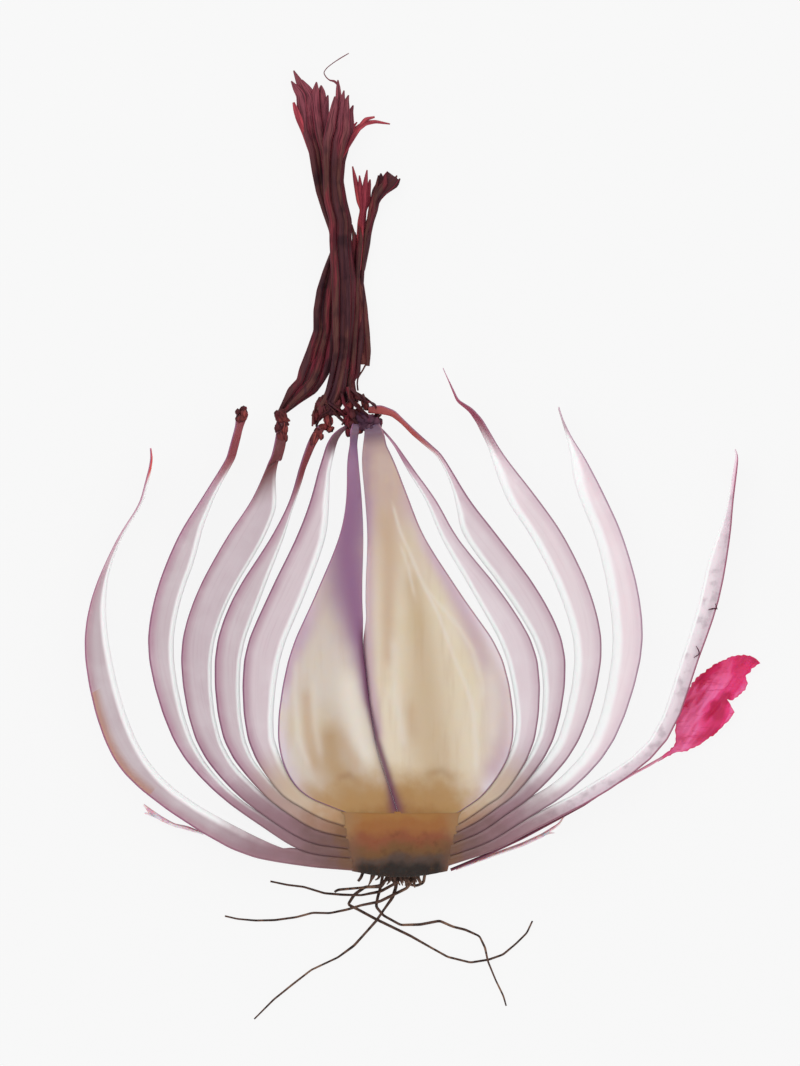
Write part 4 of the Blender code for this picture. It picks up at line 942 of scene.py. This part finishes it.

# %% [markdown]
# ## The finish of dry leaf
#
# Dry onion leaf is like brown paper soaked in wine: dull, ribbed lengthwise, and red where it is a single
# thin sheet at a torn edge. Its folds are painted shade: each strip is coloured nearly black where it
# faces sideways or down. Each strip carries its own tone, so the colour changes from pleat to pleat.

# %% Dry maroon leaf
def dry_leaf(name, dark_and_fold_shade, body, crest, edge, red=0.0, plum_tone="#43232F"):
    """Papery leaf that is lighter on its ribs and redder towards thin edges, with painted shade in its
    folds: each strip is coloured dark where it faces sideways or down.
    """
    made, tree, sockets = finish(name, IOR=1.45, Specular_IOR_Level=0.15)
    place = node(tree, "ShaderNodeTexCoord")["Object"]
    across, reach, tone, rise = (measured(tree, n) for n in ("across", "along_mm", "tone", "rise"))
    rib_place = node(tree, "ShaderNodeCombineXYZ", {
        0: node(tree, "ShaderNodeMath", {0: reach, 1: 0.22}, operation="MULTIPLY")[0],
        1: node(tree, "ShaderNodeMath", {0: across, 1: 3.0}, operation="MULTIPLY")[0],
        2: node(tree, "ShaderNodeMath", {0: tone, 1: 37.0}, operation="MULTIPLY")[0]})[0]
    rib = node(tree, "ShaderNodeTexNoise", {"Vector": rib_place, "Scale": 1.6, "Detail": 5.0})[0]
    patch = node(tree, "ShaderNodeTexNoise", {"Vector": place, "Scale": size_mm(3.5), "Detail": 2.0})[0]
    high = node(tree, "ShaderNodeSeparateXYZ", {0: place})[1]
    upper = node(tree, "ShaderNodeMapRange", {0: high, 1: 88 * MM, 2: 98 * MM, 3: red, 4: max(red, 0.75)},
                 **SMOOTH)[0]
    plummy = node(tree, "ShaderNodeMapRange", {0: tone, 1: 0.45, 2: 0.3, 4: 0.8})[0]
    stretched = node(tree, "ShaderNodeMapping", {"Vector": place, "Scale": (1.0, 0.12, 0.6)})[0]
    streak = node(tree, "ShaderNodeTexNoise", {"Vector": stretched, "Scale": size_mm(1.3), "Detail": 2.0})[0]
    # The `rise` coat is painted shade: nearly black wherever a strip or lump faces sideways or down.
    colour = coats(tree, body, (plum_tone, plummy), (crest, (tone, 0.6, 0.95, 0.6)),
                   (crest, (rib, 0.42, 0.68)), ("#8A2438", (streak, 0.53, 0.64, 0.6)),
                   (plum_tone, (streak, 0.46, 0.36, 0.75)), (dark_and_fold_shade, (patch, 0.52, 0.68, 0.7)),
                   (dark_and_fold_shade, (rise, 0.75, 0.1, 0.85)), (edge, upper))
    beside = node(tree, "ShaderNodeMath", {0: across}, operation="ABSOLUTE")[0]
    thin = node(tree, "ShaderNodeMapRange", {0: beside, 1: 0.86, 2: 0.98, 4: 0.6}, **SMOOTH)[0]
    colour = coats(tree, colour, (dark_and_fold_shade, (rib, 0.45, 0.58, 0.7)), ("#A02C44", thin))
    surface(tree, sockets, colour, rib, (0.5, 0.75), 0.7, 0.1)
    return made


maroon = dry_leaf("dry maroon leaf", dark_and_fold_shade="#28141C", body="#5C3A34", crest="#86443F", edge="#9C4E5C")
wine = dry_leaf("dry wine-red shred", dark_and_fold_shade="#5E1E2C", body="#A8343E", crest="#D0584E", edge="#C0505E",
                red=0.3,
                plum_tone="#7A2A3C")
rust = dry_leaf("dry rust-red lumps", dark_and_fold_shade="#381A1E", body="#7A3634", crest="#AC524C", edge="#9A4A50")
plum = dry_leaf("dry plum collar", dark_and_fold_shade="#3A2032", body="#6C4052", crest="#967280", edge="#8A6A80",
                plum_tone="#523048")
for name, piece in neck.items():
    shred = name in ("neck_shred_left", "neck_shred_right", "neck_shred_middle")
    piece.data.materials.append(wine if shred else plum if name == "dry_lumps_collar" else
                                rust if name.startswith("dry_lumps") else maroon)
print("dry finishes ready")

# %% [markdown]
# ## Torn outer skin
#
# The outermost skin of a red onion is as thin as paper and bright pink. One flap of it has come away on a
# long strand. It is one sheet: a grid between its two torn edges, folded up and down, then given its
# thickness. The two pale slivers are made as narrow strips.

# %% The pink flap
FLAP_EDGES = np.array([
    (33.6, 11.1, 33.7, 10.8), (35.2, 12.3, 35.9, 11.95), (36.0, 13.3, 37.4, 12.2), (36.0, 15.0, 39.1, 13.0),
    (36.2, 16.9, 41.0, 14.3), (36.8, 18.7, 42.8, 16.0), (37.4, 20.1, 43.7, 17.3), (38.3, 21.2, 43.2, 18.2),
    (39.2, 22.1, 42.8, 18.9), (40.1, 22.8, 43.4, 18.8), (41.0, 23.4, 44.2, 19.4), (42.0, 24.0, 45.1, 20.2),
    (43.2, 24.5, 45.4, 21.1), (44.5, 24.8, 45.2, 22.0), (45.7, 24.7, 46.0, 22.9), (46.5, 24.3, 46.7, 23.4),
    (47.0, 23.8, 47.1, 23.6)])
# Painted shade: soft dark spots in the folds of the flap, as (x, y, radius).
FOLD_SHADE_SPOTS = [(42.5, 19.2, 0.8), (41.6, 17.2, 0.9), (46.7, 23.8, 0.5), (36.9, 13.7, 0.8), (40.9, 18.4, 0.5)]
LONG, WIDE = 110, 60
fine = np.linspace(0, len(FLAP_EDGES) - 1, LONG + 1)
edges = np.stack([np.interp(fine, range(len(FLAP_EDGES)), FLAP_EDGES[:, k]) for k in range(4)], 1)
bm = bmesh.new()
bmesh.ops.create_grid(bm, x_segments=LONG, y_segments=WIDE, size=0.5)
fold_light_and_shade_mark, edge_mark = (bm.verts.layers.float.new(n) for n in ("fold", "edge_mm"))
for vert in bm.verts:
    i, v = round((vert.co.x + 0.5) * LONG), vert.co.y + 0.5
    one, two = edges[i, :2], edges[i, 2:]
    x, y = one + (two - one) * v
    tear = 0.16 * noise.noise(Vector((x * 2.2, y * 2.2, 3))) * (abs(2 * v - 1) ** 6)
    x, y = x + tear, y - tear
    slant = 0.9 * x - 0.55 * y
    fold = math.sin(1.3 * slant + 2.2 * noise.noise(Vector((x * 0.3, y * 0.3, 1))))
    crease = noise.noise(Vector((x * 0.55 - y * 0.45, (y + x) * 0.12, 5))) + 0.5 * noise.noise(
        Vector((x * 1.6 - y * 1.3, (y + x) * 0.4, 8)))
    swell = min(1.0, i / 30, (LONG - i) / 8 + 0.3)
    vert.co = Vector((x, y, 1.0 + swell * (0.28 * fold + 0.55 * crease + 0.25 * v))) * MM
    # The `fold` mark follows the height of the folds, less the painted shade spots; the pink finish uses it
    # to paint crests lighter and troughs darker.
    shade = sum(math.exp(-((x - a) ** 2 + (y - b) ** 2) / c ** 2) for a, b, c in FOLD_SHADE_SPOTS)
    vert[fold_light_and_shade_mark] = 0.5 + 0.35 * fold + 0.6 * crease - 0.8 * shade
    vert[edge_mark] = min(v, 1 - v) * np.hypot(*(two - one))
bmesh.ops.solidify(bm, geom=bm.faces, thickness=0.1 * MM)
bmesh.ops.recalc_face_normals(bm, faces=bm.faces)
flap_strand = [(34.3, 11.4, 1.1, 0.3, 0.15), (32.6, 10.4, 1.3, 0.4, 0.3), (30.6, 9.3, 1.6, 0.3, 0.3),
               (27.3, 7.4, 2.4, 0.28, 0.4), (23.9, 5.2, 3.0, 0.35, 0.5), (20.7, 3.5, 3.4, 0.4, 0.6),
               (16.0, 1.0, 3.6, 0.45, 0.8),
               (10.7, -1.5, 3.8, 0.45, 0.9), (6.6, -3.2, 3.9, 0.4, 0.9)]
strip(bm, flap_strand, 0.5, 0.2)
flap = close_strips("pink_flap", bm)
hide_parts("skin_flap_right")
print("flap:", len(flap.data.polygons), "faces")

# %% Pink skin
pink, tree, sockets = finish("thin pink onion skin", IOR=1.45, Specular_IOR_Level=0.25,
                             Subsurface_Weight=0.4, Subsurface_Scale=0.001)
place = node(tree, "ShaderNodeTexCoord")["Object"]
fold, edge, along = (measured(tree, n) for n in ("fold", "edge_mm", "along"))
turned = node(tree, "ShaderNodeMapping", {"Vector": place, "Rotation": (0, 0, -0.85),
                                          "Scale": (0.25, 1.6, 1.0)})[0]
vein = node(tree, "ShaderNodeTexNoise", {"Vector": turned, "Scale": size_mm(0.9), "Detail": 5.0})[0]
blotch = node(tree, "ShaderNodeTexNoise", {"Vector": place, "Scale": size_mm(2.6), "Detail": 4.0})[0]
strand = node(tree, "ShaderNodeMath", {0: along, 1: 0.0001}, operation="GREATER_THAN")[0]
east = node(tree, "ShaderNodeSeparateXYZ", {0: place})[0]
high = node(tree, "ShaderNodeMapRange", {0: node(tree, "ShaderNodeSeparateXYZ", {0: place})[1],
                                         1: 20 * MM, 2: 24 * MM, 4: 0.65}, **SMOOTH)[0]
wrinkle = node(tree, "ShaderNodeTexNoise", {"Vector": turned, "Scale": size_mm(0.45), "Detail": 6.0})[0]
strand_colour = coats(tree, "#6A2F44", ("#D9A0B8", (east, 24 * MM, 31 * MM)))
# Painted light on the folds: lighter pink on the crests as painted highlight, dark crimson in the troughs as
# painted shade, both from the `fold` mark.
colour = coats(tree, "#E2488A", ("#F680B8", (fold, 0.45, 0.85, 0.7)), ("#EC70A8", (blotch, 0.55, 0.7, 0.6)),
               ("#F884B8", (east, 40.5 * MM, 37.5 * MM, 0.6)), ("#CC3470", (vein, 0.55, 0.72, 0.6)),
               ("#CE2C66", high), ("#A42858", (fold, 0.4, -0.3, 0.9)),
               ("#B83668", (wrinkle, 0.55, 0.72, 0.5)), ("#C03468", (edge, 0.3, 0.05, 0.6)),
               (strand_colour, strand))
surface(tree, sockets, colour, vein, (0.35, 0.55), 0.5, 0.06)
flap.data.materials.append(pink)

# %% The pale slivers
SLIVERS = {
    "skin_sliver_left": [[(-25.6, 1.5, 3.4, 0.3, 1.2), (-27.7, 2.2, 3.0, 0.6, 1.2),
                          (-29.5, 2.6, 2.4, 0.5, 1.0),
                          (-31.2, 3.4, 1.8, 0.7, 0.6), (-32.5, 4.2, 1.3, 0.8, 0.4),
                          (-33.5, 5.2, 0.9, 0.25, 0.3)],
                         [(-31.0, 3.4, 1.6, 0.3, 0.4), (-32.6, 3.9, 1.3, 0.4, 0.3),
                          (-33.4, 4.1, 1.0, 0.2, 0.2)]],
    "skin_sliver_right": [[(7.3, -3.2, 1.6, 0.35, 1.2), (12.3, -1.3, 1.5, 0.5, 1.0),
                           (16.0, 0.0, 1.3, 0.55, 0.8),
                           (18.6, 1.2, 1.1, 0.5, 0.5), (20.7, 2.6, 0.9, 0.3, 0.3),
                           (21.6, 3.8, 0.8, 0.15, 0.2)],
                          [(18.6, 1.2, 1.1, 0.3, 0.3), (19.6, 1.5, 1.0, 0.25, 0.2),
                           (20.2, 1.5, 0.9, 0.1, 0.1)]],
}
pale_skin, tree, sockets = finish("thin pale onion skin", IOR=1.45, Specular_IOR_Level=0.25,
                                  Subsurface_Weight=0.5,
                                  Subsurface_Scale=0.001)
place = node(tree, "ShaderNodeTexCoord")["Object"]
wisp = node(tree, "ShaderNodeTexNoise", {"Vector": place, "Scale": size_mm(0.8), "Detail": 4.0})[0]
# The darker mauve where a sliver faces sideways or down is painted shade.
colour = coats(tree, "#E6D6DC", ("#D8AEBE", (wisp, 0.45, 0.65)),
               ("#A8788C", (measured(tree, "rise"), 0.4, 0.0, 0.4)))
tree.links.new(colour, sockets["Base Color"])
rough = node(tree, "ShaderNodeMapRange", {0: wisp, 1: 0.3, 2: 0.7, 3: 0.4, 4: 0.6})[0]
tree.links.new(rough, sockets["Roughness"])
for name, paths in SLIVERS.items():
    bm = bmesh.new()
    for path in paths:
        strip(bm, path, 0.5, 0.3, step=0.2)
    piece = close_strips(name.replace("skin", "pale"), bm)
    piece.data.materials.append(pale_skin)
    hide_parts(name)
print("slivers:", list(SLIVERS))

# %% [markdown]
# ## Roots
#
# Dried onion roots are wiry: half a millimetre thick, thinner towards the tip, slightly wavy, and lumpy
# where side roots broke off. Each follows the path that its node has in the frame.

# %% Eight roots and their stubs
ROOTS = {
    "root_1": [(0.5, -3.9, 3.1), (-0.6, -5.0, 2.9), (-2.5, -6.1, 2.5), (-5.1, -6.6, 1.7), (-7.5, -6.6, 1.1),
               (-9.9, -6.4, 0.6), (-12.6, -5.6, 0.3), (-14.7, -5.3, 0.3), (-17.0, -4.9, 0.3)],
    "root_2": [(2.2, -3.7, 2.3), (0.9, -5.6, 2.2), (-0.7, -6.5, 2.2), (-2.7, -7.4, 2.2), (-5.1, -7.9, 1.9),
               (-6.9, -8.5, 1.4), (-9.2, -9.0, 0.7), (-11.4, -9.0, 0.3), (-13.5, -9.5, 0.3),
               (-16.4, -10.0, 0.3),
               (-18.9, -10.0, 0.3), (-21.2, -9.8, 0.3), (-23.0, -9.4, 0.3)],
    "root_3": [(-0.3, -3.9, 1.5), (-0.5, -5.6, 1.2), (-1.0, -7.0, 1.0), (-2.1, -8.5, 1.0), (-3.1, -10.0, 1.1),
               (-4.5, -11.6, 0.6), (-6.0, -13.3, 0.3), (-8.1, -14.8, 0.3), (-11.7, -16.5, 0.3),
               (-14.0, -18.3, 0.3),
               (-16.5, -20.3, 0.3), (-19.1, -22.8, 0.3)],
    "root_4": [(-1.4, -3.8, 0.9), (-2.5, -5.5, 0.6), (-4.5, -5.6, 0.4), (-6.0, -6.6, 0.3), (-6.8, -7.9, 0.3),
               (-5.5, -8.6, 0.3), (-3.2, -9.8, 0.3), (1.4, -12.0, 0.3), (3.9, -13.5, 0.3), (6.2, -14.7, 0.3),
               (9.2, -15.5, 0.3), (11.6, -15.1, 0.3), (13.4, -14.4, 0.3), (15.2, -13.0, 0.3),
               (16.6, -11.6, 0.3),
               (17.4, -10.1, 0.3)],
    "root_5": [(-2.2, -3.7, 2.0), (-2.6, -5.6, 1.5), (-2.9, -7.0, 1.3), (-3.1, -8.1, 1.6), (-2.1, -9.2, 1.9),
               (0.0, -10.5, 1.2), (2.6, -10.5, 0.5), (5.2, -10.0, 0.3), (6.9, -10.8, 0.3), (8.6, -11.2, 0.3),
               (10.4, -12.0, 0.4), (11.1, -13.5, 0.8), (11.4, -15.3, 1.15), (12.5, -17.7, 0.6),
               (13.5, -19.8, 0.3),
               (13.9, -21.2, 0.3)],
    "root_6": [(-1.0, -3.8, 4.2), (-2.7, -5.2, 3.9), (-5.1, -5.6, 3.2), (-8.1, -5.9, 2.4), (-8.6, -6.2, 2.1)],
    "root_7": [(3.3, -3.6, 1.6), (3.1, -5.0, 1.1), (2.2, -5.5, 0.7), (1.3, -5.3, 0.5), (0.9, -4.8, 0.5)],
    "root_8": [(-4.7, -3.2, 1.2), (-5.1, -4.3, 0.9), (-5.5, -4.9, 0.7)],
}


def wire(bm, path, start, end, tone):
    """A wiry root: its path as rows of (x, y, z), and its thickness at the plate and at the tip."""
    rows = []
    for i, (x, y, z) in enumerate(path):
        share = i / (len(path) - 1)
        thick = start + (end - start) * share
        thick *= 1 + 0.3 * noise.noise(Vector((x * 0.7, y * 0.7, tone * 9)))
        rows.append((x + 0.15 * noise.noise(Vector((i * 1.3, tone * 9, 1))) * min(1, i),
                     y + 0.15 * noise.noise(Vector((i * 1.3, tone * 9, 5))) * min(1, i), z, thick,
                     1.3 * thick))
    strip(bm, rows, tone, 0.0, 8, 0.22)


dried, tree, sockets = finish("dried wiry root", IOR=1.45, Specular_IOR_Level=0.2)
place = node(tree, "ShaderNodeTexCoord")["Object"]
knobbly = node(tree, "ShaderNodeTexNoise", {"Vector": place, "Scale": size_mm(0.7), "Detail": 4.0})[0]
length = node(tree, "ShaderNodeTexNoise", {"Vector": place, "Scale": size_mm(5.0), "Detail": 2.0})[0]
colour = coats(tree, "#5A4036", ("#80604E", (length, 0.48, 0.62)), ("#33241F", (knobbly, 0.42, 0.62)))
surface(tree, sockets, colour, knobbly, (0.6, 0.85), 0.6, 0.06)
ROOT_WIDE, TIP_WIDE, SHORT_TIP_WIDE, STUBS = 0.44, 0.22, 0.32, 34
for number, (name, path) in enumerate(ROOTS.items()):
    bm = bmesh.new()
    wire(bm, path, ROOT_WIDE, TIP_WIDE if len(path) > 5 else SHORT_TIP_WIDE, 0.1 + 0.11 * number)
    piece = close_strips(name.replace("root", "wiry_root"), bm)
    piece.data.materials.append(dried)
    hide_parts(name)
draw = np.random.default_rng(7)
bm = bmesh.new()
for stub in range(STUBS):
    x = float(np.clip(draw.normal(0.6, 2.1), -5.2, 5.2))
    y, z = -3.5 - 0.75 * (1 - (x / 6) ** 2), draw.uniform(0.6, 5.2)
    lean, long = draw.uniform(-0.7, 0.7), draw.uniform(0.4, 1.5)
    wire(bm, [(x, y + 0.3, z), (x + 0.3 * lean, y - 0.4 * long, z), (x + lean, y - long, z - 0.3)],
         draw.uniform(0.3, 0.6), 0.15, draw.uniform(0, 1))
stubs = close_strips("root_stubs", bm)
stubs.data.materials.append(dried)
print("roots:", len(ROOTS), "and", len(stubs.data.polygons), "faces of stubs")

# %% [markdown]
# ## Cracks in the outermost layer
#
# The outermost layer has begun to dry, and its skin has split in two places. A crack is only a dark line
# a fraction of a millimetre wide, so it is laid on the flesh as a very thin strip.

# %% Three dark lines in two places
CRACKS = [[(40.1, 30.7, 0.1), (40.8, 30.9, 0.2), (41.3, 30.8, 0.1)],
          [(38.5, 26.0, 0.08), (38.9, 25.3, 0.16), (38.9, 24.9, 0.14),
          (38.2, 24.5, 0.08)], [(41.0, 31.5, 0.08), (41.2, 30.9, 0.14)]]
bm = bmesh.new()
for j, line in enumerate(CRACKS):
    strip(bm, [(x, y, SLICE - 0.02, wide, 0.12) for x, y, wide in line], 0.3 * j, step=0.1, around=6)
cracks = close_strips("skin_cracks", bm)
cracks.data.materials.append(dry_leaf("dried crack", dark_and_fold_shade="#3A1626", body="#5E2A3E", crest="#7A3A50",
                                      edge="#7A3A50"))
print("cracks:", len(CRACKS))
